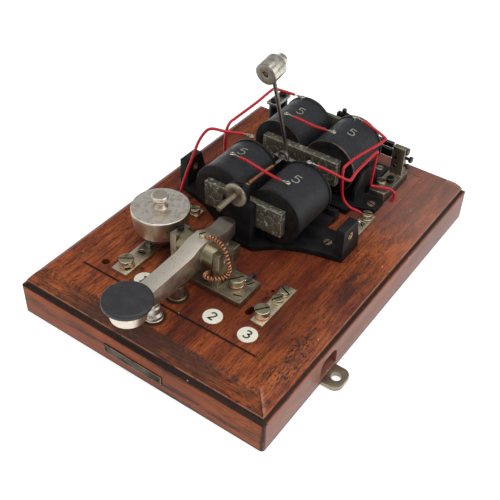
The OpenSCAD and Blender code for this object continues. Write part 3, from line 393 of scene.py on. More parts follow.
    def worn_places(self, s: Shader) -> Value:
        """Where hands and the cover rubbed the varnish off."""
        places = [
            ((-0.086, -0.134, 0.037), 0.012, 0.050), ((-0.074, -0.085, 0.039), 0.008, 0.034),
            ((0.086, -0.128, 0.036), 0.012, 0.044), ((0.098, -0.07, 0.034), 0.004, 0.036),
            ((0.09, 0.03, 0.037), 0.004, 0.04), ((-0.02, -0.100, 0.04), 0.004, 0.034),
            ((0.082, -0.1525, 0.012), 0.006, 0.045), ((0.108, -0.135, 0.012), 0.006, 0.045),
        ]
        return s.most(*(s.near(centre, inner, outer) for centre, inner, outer in places))

    def grime_and_shade(self, s: Shader) -> Value:
        """Painted shade in the ledge and the scored lines, a painted shadow beside the front scored
        line, dark rings round the feet of the front post and the barrel, a darker band along the
        bottom, black specks, knocks and dirty corners.
        """
        height = s.axis("Z")
        # Painted shadow in the ledge under the lip at the front, and in the quirk all round.
        ledge = s.both(
            s.ramp(height, self.side_top - 0.0002, self.side_top + 0.0004),
            s.ramp(height, self.lip_top + 0.0001, self.lip_top - 0.0004),
            s.ramp(s.axis("Y"), -0.1480, -0.1488),
        )
        groove = s.both(
            s.ramp(height, self.side_top + 0.0003, self.side_top + 0.0010),
            s.ramp(height, self.lip_top - 0.0006, self.lip_top - 0.0016),
            s.ramp(s.noise((90, 60, 90), 4, 0.6), 0.2, 0.4),
        )
        ledge = s.both(s.most(ledge, groove), 0.93)
        foot = s.ramp(height, 0.0016, 0.0006, 0.9)
        corner = s.both(
            s.ramp(s.side("X"), 0.1040, 0.1062), s.ramp(s.side("Y"), 0.1490, 0.1510),
            s.ramp(s.noise((300, 300, 90), 4, 0.65), 0.38, 0.52, 0.85),
        )
        # Painted shade in the scored lines.
        inner = s.both(
            s.ramp(s.side("X"), 0.0785, 0.0775), s.ramp(s.gap("Y", 0.005), 0.1255, 0.1245)
        )
        front = s.ramp(s.axis("Y"), -0.112, -0.1155, 0.5)
        scored = s.both(inner, s.ramp(height, 0.03965, 0.0394), front)
        scored = s.calc("ADD", scored, s.both(inner, s.ramp(height, 0.03965, 0.0391, 0.45)))
        # A painted shadow beside the front scored line, on the top face.
        rubbed = s.both(
            inner, s.ramp(s.gap("Y", -0.1175), 0.0017, 0.0008), s.ramp(height, 0.0385, 0.039, 0.6)
        )
        scored = s.both(s.most(scored, rubbed), 0.95)
        specks = s.both(
            s.ramp(s.noise((620, 300, 620), 4, 0.7), 0.51, 0.57),
            s.ramp(s.gap("Y", -0.104), 0.034, 0.014), s.ramp(s.gap("X", 0.0965), 0.0085, 0.0030),
            0.95,
        )
        knocks = s.both(s.ramp(s.noise((70, 40, 70), 5, 0.7), 0.66, 0.74), 0.8)
        rings = [
            s.ramp(s.away_from((0.0, y, BOARD_TOP)), *self.ring, 0.85)
            for y in (self.post_y, self.barrel_y)
        ]
        return s.most(*rings, ledge, scored, specks, knocks, foot, corner)


@dataclass(frozen=True)
class WornMetal(Finish):
    """Old plated or bare metal with tarnish clouds, pits and rubbed arrises."""

    colour: Colour = (0.60, 0.54, 0.45)
    stain: Colour = (0.22, 0.18, 0.12)
    cover: float = 0.4
    rough: float = 0.34
    pits: float = 0.5
    patch: float = 90.0
    arris: Colour = (0.80, 0.76, 0.68)
    metal: float = 1.0
    pit: Colour = (0.03, 0.025, 0.02)
    # Painted shade inside screw slots.
    slot_shade: Colour = (0.012, 0.010, 0.008)

    def paint(self, s: Shader) -> None:
        """Clouds of tarnish, fine mottling, dark pits, bright arrises and painted shade in screw
        slots.
        """
        cloud = s.noise(self.patch, 6, 0.62)
        start = 0.66 - 0.4 * self.cover
        cover = s.ramp(cloud, start, start + 0.26)
        fine = s.noise(1300, 4, 0.6)
        pits = s.both(s.spots(900, 0.34, 0.22), s.ramp(s.noise(150, 2), 0.4, 0.62), self.pits)
        edge = s.both(s.attribute("arris"), s.ramp(s.noise(300, 3), 0.3, 0.55), 0.8)
        colour = s.layered(
            self.colour, (cover, self.stain), (s.ramp(fine, 0.62, 0.36, 0.35), self.stain),
            (pits, self.pit), (edge, self.arris), (s.both(s.attribute("slot_shade"), 0.93), self.slot_shade),
        )
        gloss = s.calc("ADD", s.both(cover, 0.16), self.rough)
        s.set(base_color=colour, metallic=self.metal, roughness=gloss)
        relief = s.calc("SUBTRACT", s.both(fine, 0.4), pits)
        s.set(normal=s.bump(relief, 0.00003))


@dataclass(frozen=True)
class TurnedMetal(WornMetal):
    """Metal with fine turning marks round an upright axis."""

    centre: tuple[float, float] = (0.0, 0.0)

    def paint(self, s: Shader) -> None:
        """The worn metal, with rings that only its relief shows."""
        super().paint(s)
        away = s.away_from((*self.centre, 0), s.vector("MULTIPLY", s.place, (1, 1, 0)))
        sockets = {"W": away, "Scale": 4200.0, "Detail": 3.0}
        rings = s.put("TexNoise", {"noise_dimensions": "1D"}, sockets).outputs[0]
        s.set(normal=s.bump(rings, 0.000012, s.now("Normal")))


@dataclass(frozen=True)
class WeightMetal(WornMetal):
    """The hammer's plating, with painted shade on its front face."""

    axis: tuple[float, float, float] = (0.0, 0.98459, 0.17485)
    face: float = 0.02632
    shade: Colour = (0.15, 0.13, 0.11)

    def paint(self, s: Shader) -> None:
        """The worn metal, with painted shade where it is at the front along the axis."""
        super().paint(s)
        along = s.vector("DOT_PRODUCT", s.place, self.axis)
        s.tint(s.ramp(along, self.face + 0.0008, self.face + 0.0003, 0.75), self.shade)


@dataclass(frozen=True)
class LeverMetal(WornMetal):
    """The key lever's plating: brassy on its hub, dull on its rear end, with painted shade on its
    sides.
    """

    hub: Colour = (0.27, 0.235, 0.140)
    side: Colour = (0.36, 0.31, 0.26)
    rear: Colour = (0.30, 0.28, 0.235)

    def paint(self, s: Shader) -> None:
        """The worn metal, with the hub's and rear end's own colours and painted shade on the sides
        laid over it.
        """
        super().paint(s)
        out, along = s.side("X"), s.axis("Y")
        cloud = s.ramp(s.noise(160, 4, 0.6), 0.25, 0.6)
        # Painted shade on the lever's sides, behind the knob.
        side = s.both(s.ramp(out, 0.0062, 0.0065, 0.75), s.ramp(along, -0.140, -0.136), cloud)
        rear = s.ramp(along, -0.068, -0.056, 0.8)
        hub = s.both(
            s.ramp(out, 0.0066, 0.0070, 0.95), s.ramp(along, -0.090, -0.087),
            s.ramp(along, -0.062, -0.065),
        )
        for part, tone in ((side, self.side), (rear, self.rear), (hub, self.hub)):
            s.tint(part, tone)


@dataclass(frozen=True)
class Japan(Finish):
    """Black stoving paint on iron, with dust and rubbed arrises."""

    colour: Colour = (0.0060, 0.0060, 0.0072)
    dust: Colour = (0.34, 0.32, 0.30)
    arris: Colour = (0.045, 0.044, 0.042)
    rough: float = 0.36

    def paint(self, s: Shader) -> None:
        """Paint with a soft cloud of dust, grains of dust and a slight orange peel."""
        cloud = s.ramp(s.noise(70, 5, 0.6), 0.42, 0.75, 0.04)
        grains = s.both(s.spots(620, 0.13, 0.10), s.ramp(s.noise(60, 2), 0.42, 0.6), 0.7)
        edge = s.both(s.attribute("arris"), s.ramp(s.noise(260, 3), 0.35, 0.6))
        colour = s.layered(self.colour, (cloud, self.dust), (grains, self.dust), (edge, self.arris))
        rough = s.ramp(s.noise(45, 3), 0.3, 0.7, 0.22)
        rough = s.calc("ADD", rough, self.rough)
        s.set(base_color=colour, roughness=rough, specular_ior_level=0.22)
        s.set(normal=s.bump(s.noise(700, 3), 0.00005, s.bump(s.noise(110, 2), 0.0003)))


@dataclass(frozen=True)
class CoilCloth(Finish):
    """Dark wound cloth round a coil, with a fine weave and grey dust in it."""

    colour: Colour = (0.0065, 0.007, 0.009)
    thread: Colour = (0.030, 0.032, 0.038)
    dust: Colour = (0.20, 0.20, 0.20)

    def paint(self, s: Shader) -> None:
        """Threads round the coil crossed by finer ones, and dust on top."""
        weave = s.most(s.noise((1200, 3300, 1200), 2, 0.6), s.noise((2600, 700, 2600), 2, 0.6))
        turns = s.ramp(s.noise((220, 1150, 220), 3, 0.6), 0.50, 0.70, 0.7)
        clouds = s.ramp(s.noise(140, 4, 0.7), 0.45, 0.8, 0.3)
        grains = s.both(s.spots(760, 0.17, 0.12), s.ramp(s.noise(120, 3), 0.40, 0.60), 0.7)
        colour = s.layered(
            self.colour, (s.most(s.ramp(weave, 0.5, 0.8), turns), self.thread),
            (clouds, self.thread), (grains, self.dust),
        )
        s.set(base_color=colour, roughness=0.34, sheen_weight=0.03, sheen_roughness=0.5)
        s.set(specular_ior_level=0.38)
        s.set(normal=s.bump(weave, 0.00014, s.bump(s.noise((210, 700, 210), 4, 0.7), 0.0014)))


@dataclass(frozen=True)
class Moulded(Finish):
    """Hard rubber, plastic sleeving or enamel: one colour, a little uneven and scuffed."""

    colour: Colour = (0.02, 0.02, 0.022)
    scuff: Colour = (0.09, 0.09, 0.09)
    dust: Colour = (0.5, 0.48, 0.45)
    rough: float = 0.42
    wear: float = 0.25
    peel: float = 0.00003
    shine: float = 0.5

    def paint(self, s: Shader) -> None:
        """Colour that varies slightly, hairline scuffs and specks of dust."""
        cloud = s.ramp(s.noise(120, 5, 0.65), 0.38, 0.75, self.wear)
        hairs = s.ramp(s.noise((2400, 180, 900), 2, 0.5), 0.68, 0.78, 0.5 * self.wear)
        grains = s.both(s.spots(620, 0.11, 0.08), 0.5)
        edge = s.both(s.attribute("arris"), s.ramp(s.noise(240, 3), 0.35, 0.65), 0.4)
        colour = s.layered(
            self.colour, (cloud, self.scuff), (hairs, self.scuff), (grains, self.dust),
            (edge, self.scuff),
        )
        rough = s.ramp(s.noise(200, 4), 0.3, 0.8, 0.18)
        s.set(base_color=colour, roughness=s.calc("ADD", rough, self.rough))
        s.set(normal=s.bump(s.noise(900, 3), self.peel), specular_ior_level=self.shine)


@dataclass(frozen=True)
class Flange(Moulded):
    """The coils' flanges; the rear pair's rims carry a thin brown painted highlight."""

    rim: Colour = (0.20, 0.14, 0.13)
    centre: tuple[float, float, float] = (0.02375, 0.0, 0.0693)
    radius: float = 0.02275

    def paint(self, s: Shader) -> None:
        """The hard rubber, with a thin painted highlight line round each rim of the rear pair."""
        super().paint(s)
        flat = s.vector("MULTIPLY", s.vector("ABSOLUTE", s.place), (1, 0, 1))
        away = s.away_from(self.centre, flat)
        # Painted highlight: a thin brown line round the rims of the rear pair.
        worn = s.both(
            s.ramp(away, self.radius - 0.0007, self.radius - 0.0004, 0.8),
            s.ramp(away, self.radius, self.radius - 0.00005),
            s.ramp(s.noise(70, 3), 0.3, 0.55), s.ramp(s.axis("Y"), 0.03, 0.04, 0.8),
        )
        s.tint(worn, self.rim)


@dataclass(frozen=True)
class PittedIron(WornMetal):
    """Blackened iron, deeply pitted and scratched, with bright flecks of bare metal and painted
    glints.
    """

    def paint(self, s: Shader) -> None:
        """The worn metal with a coarse relief of pits and scratches, and bright flecks that are
        partly painted glints.
        """
        super().paint(s)
        coarse = s.noise(420, 6, 0.75)
        scratches = s.noise((220, 2400, 1500), 2, 0.6)
        # Bright flecks: partly bare metal, partly painted glints.
        s.tint(s.ramp(coarse, 0.54, 0.64, 0.9), self.arris)
        relief = s.calc("ADD", coarse, s.both(scratches, 0.3))
        s.set(normal=s.bump(relief, 0.00022, s.now("Normal")))


MAHOGANY = Mahogany("old mahogany", "mahogany")
PLATE = WornMetal(
    "mounting plate nickel", "plate_steel", colour=(0.36, 0.30, 0.22), stain=(0.16, 0.12, 0.08),
    cover=0.45, arris=(0.66, 0.60, 0.50),
)
NAMEPLATE = WornMetal(
    "bronzed nameplate", "bronzed_plate", colour=(0.115, 0.085, 0.060),
    stain=(0.045, 0.035, 0.027), cover=0.6, rough=0.42, arris=(0.42, 0.36, 0.26),
)
IVORINE = Moulded(
    "ivorine", "label_white", colour=(0.84, 0.81, 0.68), scuff=(0.55, 0.48, 0.34), rough=0.3,
    wear=0.28, peel=0.00001,
)
INK = Moulded("black ink", "black_sleeve", colour=(0.012, 0.012, 0.012), rough=0.5)
COIL_MARK = Moulded(
    "pale mark", "label_white", colour=(0.34, 0.33, 0.27), scuff=(0.10, 0.10, 0.09), wear=0.7
)
NICKEL = WornMetal(
    "old nickel", "nickel", colour=(0.76, 0.67, 0.50), stain=(0.32, 0.26, 0.165), cover=0.42,
    arris=(0.72, 0.67, 0.56),
)
KEY_NICKEL = WornMetal(
    "key casting nickel", "key_casting", colour=(0.38, 0.33, 0.24), stain=(0.12, 0.10, 0.065),
    cover=0.55, rough=0.40, pits=0.7, arris=(0.62, 0.58, 0.48),
)
LEVER_NICKEL = LeverMetal(
    "lever nickel", "nickel", colour=(0.80, 0.72, 0.61), stain=(0.46, 0.39, 0.30), cover=0.3,
    rough=0.38, pits=0.8, arris=(0.90, 0.86, 0.78),
)
WEIGHT_NICKEL = WeightMetal(
    "hammer nickel", "nickel", colour=(0.42, 0.38, 0.32), stain=(0.32, 0.28, 0.23), cover=0.3,
    rough=0.27, pits=1.0, patch=60.0, arris=(0.70, 0.66, 0.58),
)
SCREW_NICKEL = WornMetal(
    "screw nickel", "screw_metal", colour=(0.48, 0.42, 0.28), stain=(0.16, 0.115, 0.055),
    cover=0.5, rough=0.3, patch=260.0, arris=(0.72, 0.66, 0.50),
)
CAP_NICKEL = TurnedMetal(
    "turned nickel", "nickel", colour=(0.60, 0.52, 0.42), stain=(0.48, 0.41, 0.325), cover=0.25,
    rough=0.36, pits=1.0, arris=(0.84, 0.79, 0.70), centre=(-0.047, -0.0635),
)
BRIGHT = WornMetal(
    "bright steel", "bright_steel", colour=(0.52, 0.48, 0.42), stain=(0.20, 0.16, 0.11),
    cover=0.3, rough=0.24, pits=0.3,
)
DULL_STEEL = WornMetal(
    "dull steel", "bright_steel", colour=(0.27, 0.25, 0.23), stain=(0.08, 0.07, 0.06),
    cover=0.5, rough=0.34,
)
BRASS = WornMetal(
    "dull brass", "brass", colour=(0.42, 0.32, 0.16), stain=(0.13, 0.09, 0.04), cover=0.5,
    arris=(0.75, 0.62, 0.36),
)
BARREL = WornMetal(
    "barrel brass", "barrel_brass", colour=(0.19, 0.155, 0.105), stain=(0.10, 0.075, 0.05),
    cover=0.4, rough=0.34, arris=(0.34, 0.30, 0.22),
)
POST_NICKEL = WornMetal(
    "contact post nickel", "bright_steel", colour=(0.44, 0.40, 0.35), stain=(0.34, 0.30, 0.25),
    cover=0.3, rough=0.3, pits=0.4, arris=(0.60, 0.56, 0.50),
)
SPINDLE_METAL = WornMetal(
    "spindle metal", "brass", colour=(0.235, 0.205, 0.135), stain=(0.15, 0.125, 0.08), cover=0.4,
    rough=0.34, arris=(0.45, 0.41, 0.30),
)
NUT_METAL = WornMetal(
    "thumb nut metal", "brass", colour=(0.26, 0.22, 0.175), stain=(0.19, 0.16, 0.125), cover=0.3,
    rough=0.34, pits=0.6, arris=(0.52, 0.46, 0.38),
)
ARMATURE = WornMetal(
    "armature iron", "armature_iron", colour=(0.45, 0.40, 0.30), stain=(0.14, 0.11, 0.08),
    cover=0.5, rough=0.38,
)
CORE_IRON = WornMetal(
    "core iron", "soft_iron", colour=(0.185, 0.172, 0.125), stain=(0.105, 0.097, 0.070),
    cover=0.5, rough=0.42, arris=(0.26, 0.25, 0.21), metal=0.45,
)
YOKE_IRON = PittedIron(
    "pitted yoke iron", "soft_iron", colour=(0.170, 0.158, 0.112), stain=(0.080, 0.074, 0.052),
    cover=0.5, rough=0.36, arris=(0.74, 0.71, 0.60), metal=0.45,
)
BLACK_STEEL = WornMetal(
    "blackened steel", "blackened_steel", colour=(0.05, 0.048, 0.046),
    stain=(0.018, 0.017, 0.016), cover=0.5, rough=0.4, arris=(0.22, 0.21, 0.2),
)
COPPER = WornMetal(
    "copper wire", "copper", colour=(0.58, 0.26, 0.14), stain=(0.18, 0.075, 0.04), cover=0.4,
    rough=0.32, patch=320.0, arris=(0.9, 0.5, 0.35),
)
FRESH_COPPER = WornMetal(
    "bare copper", "copper", colour=(0.85, 0.42, 0.27), stain=(0.45, 0.17, 0.09), cover=0.25,
    rough=0.25, patch=320.0,
)
JAPAN = Japan("black stoving paint", "japan")
EBONITE = Moulded(
    "ebonite", "ebonite", colour=(0.021, 0.020, 0.022), scuff=(0.06, 0.058, 0.06), rough=0.4,
    wear=0.35,
)
BLACK_FLANGE = Flange(
    "flange ebonite", "ebonite", colour=(0.0055, 0.0052, 0.0055), scuff=(0.030, 0.028, 0.028),
    rough=0.34, wear=0.2, shine=0.28,
)
BROWN_EBONITE = Moulded(
    "brown ebonite", "brown_ebonite", colour=(0.085, 0.018, 0.014), scuff=(0.16, 0.07, 0.05),
    rough=0.34,
)
CLOTH = CoilCloth("coil cloth", "coil_cloth")
RED_SLEEVE = Moulded(
    "red sleeving", "red_sleeve", colour=(0.52, 0.008, 0.018), scuff=(0.30, 0.01, 0.015),
    rough=0.26, wear=0.3, peel=0.00001,
)
BLACK_SLEEVE = Moulded(
    "black sleeving", "black_sleeve", colour=(0.022, 0.024, 0.028), scuff=(0.06, 0.06, 0.07),
    rough=0.34,
)


# Making meshes


def rounded(profile: Profile, radius: float, steps: int = 3, closed: bool = False) -> list[tuple]:
    """Rounds the corners of a line of points in a plane.

    Args:
        profile: the points, in millimetres.
        radius: the wanted radius, made smaller where an edge is short.
        steps: pieces of each arc.
        closed: whether the last point joins the first.

    Returns:
        Points as (x, y, worn), where worn marks the points of an arc.
    """
    points = [Vector(p[:2]) for p in profile]
    last = len(points) - 1
    result = []
    for i, p in enumerate(points):
        if not closed and i in (0, last):
            result.append((p.x, p.y, False))
            continue
        a, b = points[i - 1] - p, points[(i + 1) % len(points)] - p
        turn = math.pi - a.angle(b)
        if turn < CORNER_ANGLE:
            result.append((p.x, p.y, False))
            continue
        cut = min(radius * math.tan(turn / 2), EDGE_SHARE * a.length, EDGE_SHARE * b.length)
        start, end = p + a.normalized() * cut, p + b.normalized() * cut
        for t in (k / steps for k in range(steps + 1)):
            spot = start * (1 - t) ** 2 + p * 2 * t * (1 - t) + end * t ** 2
            result.append((spot.x, spot.y, True))
    return result


def arc(x: float, y: float, across: float, up: float, angles: Sequence[float]) -> list[tuple]:
    """Points round (x, y) at some angles in radians, across and up away from it."""
    return [(x + across * math.cos(a), y + up * math.sin(a)) for a in angles]


def degrees(step: int, count: int, first: float = 0.0) -> list[float]:
    """Angles in radians, from one in degrees on by equal steps."""
    return [math.radians(first + step * k) for k in range(count)]


def skin(
    bm: BMesh, low: Sequence[bmesh.types.BMVert], high: Sequence[bmesh.types.BMVert]
) -> list[bmesh.types.BMFace]:
    """Adds faces between two rings of corners, either of which may be a single point.

    Args:
        bm: the mesh that gets them.
        low: one ring.
        high: the other one, with as many corners.

    Returns:
        The faces.
    """
    faces = []
    for k in range(max(len(low), len(high))):
        near = [low[k % len(low)], low[(k + 1) % len(low)]]
        far = [high[(k + 1) % len(high)], high[k % len(high)]]
        corners = list(dict.fromkeys(near + far))
        if len(corners) > 2:
            faces.append(bm.faces.new(corners))
    return faces


def turned(
    profile: Profile, at: Vector, axis: Vector = UP, steps: int = 96, closed: bool = False
) -> BMesh:
    """A solid of revolution.

    Args:
        profile: points as (radius, height[, worn]) in millimetres.
        at: where height 0 of the axis is, in metres.
        axis: the axis's direction.
        steps: facets round the axis.
        closed: whether the last point joins the first, for a ring.

    Returns:
        The mesh, with its worn arrises marked.
    """
    bm = bmesh.new()
    worn = bm.faces.layers.float.new("arris")
    turn = UP.rotation_difference(axis).to_matrix()
    rings = []
    for p in profile:
        radius, height = p[0] * MM, p[1] * MM
        circle = [(0.0, 0.0)]
        if radius > 1e-7:
            circle = arc(0, 0, radius, radius, [2 * math.pi * k / steps for k in range(steps)])
        rings.append([bm.verts.new(at + turn @ Vector((x, y, height))) for x, y in circle])
    pairs = list(zip(range(len(rings)), range(1, len(rings))))
    if closed:
        pairs.append((len(rings) - 1, 0))
    for i, j in pairs:
        mark = float(all(len(profile[k]) > 2 and profile[k][2] for k in (i, j)))
        for face in skin(bm, rings[i], rings[j]):
            face[worn] = mark
    bmesh.ops.recalc_face_normals(bm, faces=bm.faces)
    return bm


def as_mesh(name: str, bm: BMesh) -> bpy.types.Mesh:
    """Turns a mesh under construction into a finished one."""
    mesh = bpy.data.meshes.new(name)
    bm.to_mesh(mesh)
    bm.free()
    return mesh


def merged(parts: Sequence[BMesh]) -> BMesh:
    """Several meshes as one."""
    whole = bmesh.new()
    whole.faces.layers.float.new("arris")
    for part in parts:
        mesh = as_mesh("part", part)
        whole.from_mesh(mesh)
        bpy.data.meshes.remove(mesh)
    return whole


def refined(node: str, edge: float = 0.3, steps: int = 2, least: float = 30.0) -> BMesh:
    """A copy of a CAD node with its arrises taken off.

    Args:
        node: the node's name.
        edge: how wide the arrises are, in millimetres.
        steps: facets across an arris.
        least: the least angle between faces that makes an arris, in degrees.

    Returns:
        The mesh, with its arrises marked.
    """
    bm = bmesh.new()
    bm.from_mesh(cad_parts[node].data)
    worn = bm.faces.layers.float.new("arris")
    bmesh.ops.remove_doubles(bm, verts=bm.verts, dist=SAME_PLACE)
    bmesh.ops.dissolve_limit(bm, angle_limit=FLAT_ANGLE, verts=bm.verts, edges=bm.edges)
    sharp = [e for e in bm.edges if e.is_manifold and e.calc_face_angle(0.0) > math.radians(least)]
    made = bmesh.ops.bevel(
        bm, geom=sharp, offset=edge * MM, offset_type="OFFSET", segments=steps, profile=0.5,
        affect="EDGES", clamp_overlap=True,
    )
    for face in made["faces"]:
        face[worn] = 1.0
    return bm


@dataclass(frozen=True)
class Stretch:
    """Two bodies and two points for a flexible piece; add_piece leaves such a piece where it is
    built, on no body.
    """

    first: str
    second: str
    start: Vector
    end: Vector


def add_piece(
    name: str,
    made: Union[BMesh, bpy.types.Mesh],
    finish: Finish,
    body: Union[str, Stretch] = "base",
    *nodes: str,
) -> None:
    """Makes a finished piece, puts it on its body and hides the CAD nodes that it replaces.

    Args:
        name: the piece's name.
        made: its mesh.
        finish: its material.
        body: the body that it rides on, or a Stretch, which leaves the piece on no body.
        nodes: the CAD nodes that it replaces.
    """
    mesh = as_mesh(name, made) if isinstance(made, BMesh) else made
    mesh.name = name
    mesh.materials.clear()
    mesh.materials.append(finish.material())
    mesh.polygons.foreach_set("use_smooth", [True] * len(mesh.polygons))
    mesh.set_sharp_from_angle(angle=SHARP_ANGLE)
    piece = bpy.data.objects.new(name, mesh)
    bpy.context.scene.collection.objects.link(piece)
    if isinstance(body, Stretch):
        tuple(body.start)
        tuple(body.end)
        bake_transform(piece)
    else:
        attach(piece, body)
    if nodes:
        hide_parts(*nodes)
    log.info("%s: %d faces on %s", name, len(mesh.polygons), body)


def add_refined(body: str, *rows: tuple[str, str, float, int, Finish]) -> None:
    """Adds CAD nodes with their arrises taken off.

    Args:
        body: the body that they ride on.
        rows: for each, the piece's name, its node, the arrises' width in millimetres, the facets
            across them and the finish.
    """
    for name, node, edge, steps, finish in rows:
        add_piece(name, refined(node, edge, steps), finish, body, node)


class Numeral(Enum):
    """Strokes of plain numerals in a box one unit high, as lines of points."""

    ONE = (((-0.2, 0.27), (0.02, 0.5), (0.02, -0.5)), ((-0.2, -0.5), (0.24, -0.5)))
    TWO = (
        ((-0.3, 0.26), (-0.24, 0.42), (-0.06, 0.5), (0.14, 0.48), (0.28, 0.34), (0.27, 0.14),
         (0.12, -0.08), (-0.3, -0.5), (0.33, -0.5)),
    )
    THREE = (
        ((-0.28, 0.36), (-0.16, 0.48), (0.06, 0.5), (0.24, 0.4), (0.26, 0.22), (0.14, 0.08),
         (-0.06, 0.04), (0.16, 0.0), (0.3, -0.14), (0.3, -0.34), (0.14, -0.48),
         (-0.1, -0.5), (-0.3, -0.38)),
    )
    FIVE = (
        ((0.27, 0.5), (-0.22, 0.5), (-0.27, 0.06), (-0.08, 0.14), (0.14, 0.12), (0.29, -0.03),
         (0.31, -0.24), (0.19, -0.42), (-0.02, -0.5), (-0.2, -0.46), (-0.31, -0.34)),
    )


def lettered(
    numeral: Numeral, size: float, width: float, place: Callable[[float, float, float], Vector]
) -> BMesh:
    """A numeral as thin raised strokes.

    Args:
        numeral: which one.
        size: its height in millimetres.
        width: the strokes' width in millimetres.
        place: turns its plane's x, y and height, in millimetres, into a point in metres.

    Returns:
        The mesh.
    """
    thick = 0.06
    bm = bmesh.new()
    for stroke in numeral.value:
        points = [Vector(p) * size for p in stroke]
        fine = [a.lerp(b, k / 3) for a, b in zip(points, points[1:]) for k in range(3)]
        fine.append(points[-1])
        rows = []
        for i, p in enumerate(fine):
            along = (fine[min(i + 1, len(fine) - 1)] - fine[max(i - 1, 0)]).normalized()
            over = Vector((-along.y, along.x)) * width / 2
            rows.append([
                bm.verts.new(place(q.x, q.y, z))
                for q, z in ((p + over, 0), (p + over, thick), (p - over, thick), (p - over, 0))
            ])
        for low, high in zip(rows, rows[1:]):
            skin(bm, low, high)
        bm.faces.new(rows[0][::-1])
        bm.faces.new(rows[-1])
    bmesh.ops.recalc_face_normals(bm, faces=bm.faces)
    return bm


# Geometry nodes


class Recipe(Tree):
    """A Geometry Nodes tree with named inputs."""

    def __init__(self, name: str, inputs: Mapping[str, str]) -> None:
        """Starts the tree.

        Args:
            name: its name.
            inputs: the socket type of each input, by name.
        """
        super().__init__(bpy.data.node_groups.new(name, "GeometryNodeTree"))
        face = self.tree.interface
        for key, kind in {"Geometry": "Geometry", **inputs}.items():
            face.new_socket(key, in_out="INPUT", socket_type="NodeSocket" + kind)
        face.new_socket("Geometry", in_out="OUTPUT", socket_type="NodeSocketGeometry")
        self.entry = self.put("NodeGroupInput").outputs
        self.exit = self.put("NodeGroupOutput").inputs[0]

    def get(
        self,
        kind: str,
        settings: Optional[Mapping[str, str]] = None,
        sockets: Optional[Mapping[Union[str, int], Value]] = None,
        output: Union[str, int] = 0,
    ) -> Socket:
        """Adds a node, named without its leading GeometryNode, and returns one output."""
        return self.put("GeometryNode" + kind, settings, sockets).outputs[output]

    def finish(self, geometry: Socket) -> None:
        """Ends the tree: instances made real, then the material."""
        real = self.get("RealizeInstances", None, {0: geometry})
        named = {"Geometry": real, "Material": self.entry["Material"]}
        self.feed(self.exit, self.get("SetMaterial", None, named))

    def run(self, mesh: bpy.types.Mesh, values: Mapping[str, object]) -> bpy.types.Mesh:
        """Runs the tree on a mesh.

        Args:
            mesh: what the tree starts from.
            values: the inputs, by name.

        Returns:
            The plain mesh that comes out.
        """
        carrier = bpy.data.objects.new("carrier", mesh)
        bpy.context.scene.collection.objects.link(carrier)
        modifier = carrier.modifiers.new("recipe", "NODES")
        modifier.node_group = self.tree
        for item in self.tree.interface.items_tree:
            if item.in_out == "INPUT" and item.name in values:
                modifier[item.identifier] = values[item.name]
        seen = carrier.evaluated_get(bpy.context.evaluated_depsgraph_get())
        result = bpy.data.meshes.new_from_object(seen)
        bpy.data.objects.remove(carrier)
        bpy.data.meshes.remove(mesh)
        return result


def swept_tail(recipe: Recipe, curve: Socket) -> None:
    """Ends a recipe with a round wire along its curve."""
    ring_sizes = {"Resolution": recipe.entry["Sides"], "Radius": recipe.entry["Radius"]}
    ring = recipe.get("CurvePrimitiveCircle", None, ring_sizes)
    sockets = {"Curve": curve, "Profile Curve": ring, "Fill Caps": True}
    recipe.finish(recipe.get("CurveToMesh", None, sockets))


def route_curve(recipe: Recipe) -> Socket:
    """Starts a recipe with the smooth curve through its mesh's points."""
    curve = recipe.get("MeshToCurve", None, {"Mesh": recipe.entry["Geometry"]})
    curve = recipe.get("CurveSplineType", {"spline_type": "CATMULL_ROM"}, {"Curve": curve})
    sockets = {"Curve": curve, "Length": recipe.entry["Step"]}
    return recipe.get("ResampleCurve", {"mode": "LENGTH"}, sockets)


@functools.cache
def wire_recipe() -> Recipe:
    """A wire along a route."""
    sizes = {"Radius": "Float", "Sides": "Int", "Step": "Float", "Material": "Material"}
    recipe = Recipe("wire along a route", sizes)
    swept_tail(recipe, route_curve(recipe))
    return recipe


@functools.cache
def coil_recipe() -> Recipe:
    """A wire wound round a route, running straight at both ends."""
    sizes = {
        "Radius": "Float", "Sides": "Int", "Step": "Float", "Curl": "Float", "Pitch": "Float",
        "Straight": "Float", "Material": "Material",
    }
    recipe = Recipe("wire wound round a route", sizes)
    curve, calc, vector = route_curve(recipe), recipe.calc, recipe.vector
    along = recipe.get("SplineParameter", None, None, "Length")
    left = calc("SUBTRACT", recipe.get("SplineLength"), along)
    room = calc("SUBTRACT", calc("MINIMUM", along, left), recipe.entry["Straight"])
    grow = recipe.put("Clamp", None, {0: calc("DIVIDE", room, recipe.entry["Pitch"])}).outputs[0]
    angle = calc("MULTIPLY", calc("DIVIDE", along, recipe.entry["Pitch"]), 2 * math.pi)
    normal = recipe.get("InputNormal")
    across = vector("CROSS_PRODUCT", recipe.get("InputTangent"), normal)
    arm = calc("MULTIPLY", recipe.entry["Curl"], grow)
    one = vector("SCALE", normal, calc("MULTIPLY", arm, calc("COSINE", angle)))
    two = vector("SCALE", across, calc("MULTIPLY", arm, calc("SINE", angle)))
    sockets = {"Geometry": curve, "Offset": vector("ADD", one, two)}
    swept_tail(recipe, recipe.get("SetPosition", None, sockets))
    return recipe


@functools.cache
def repeat_recipe() -> Recipe:
    """One piece repeated on points, turned as each point's facing attribute says."""
    recipe = Recipe("piece repeated on points", {"Piece": "Object", "Material": "Material"})
    shape = recipe.get("ObjectInfo", None, {"Object": recipe.entry["Piece"]}, "Geometry")
    facing = recipe.get("InputNamedAttribute", {"data_type": "FLOAT_VECTOR"}, {"Name": "facing"})
    sockets = {"Points": recipe.entry["Geometry"], "Instance": shape, "Rotation": facing}
    recipe.finish(recipe.get("InstanceOnPoints", None, sockets))
    return recipe


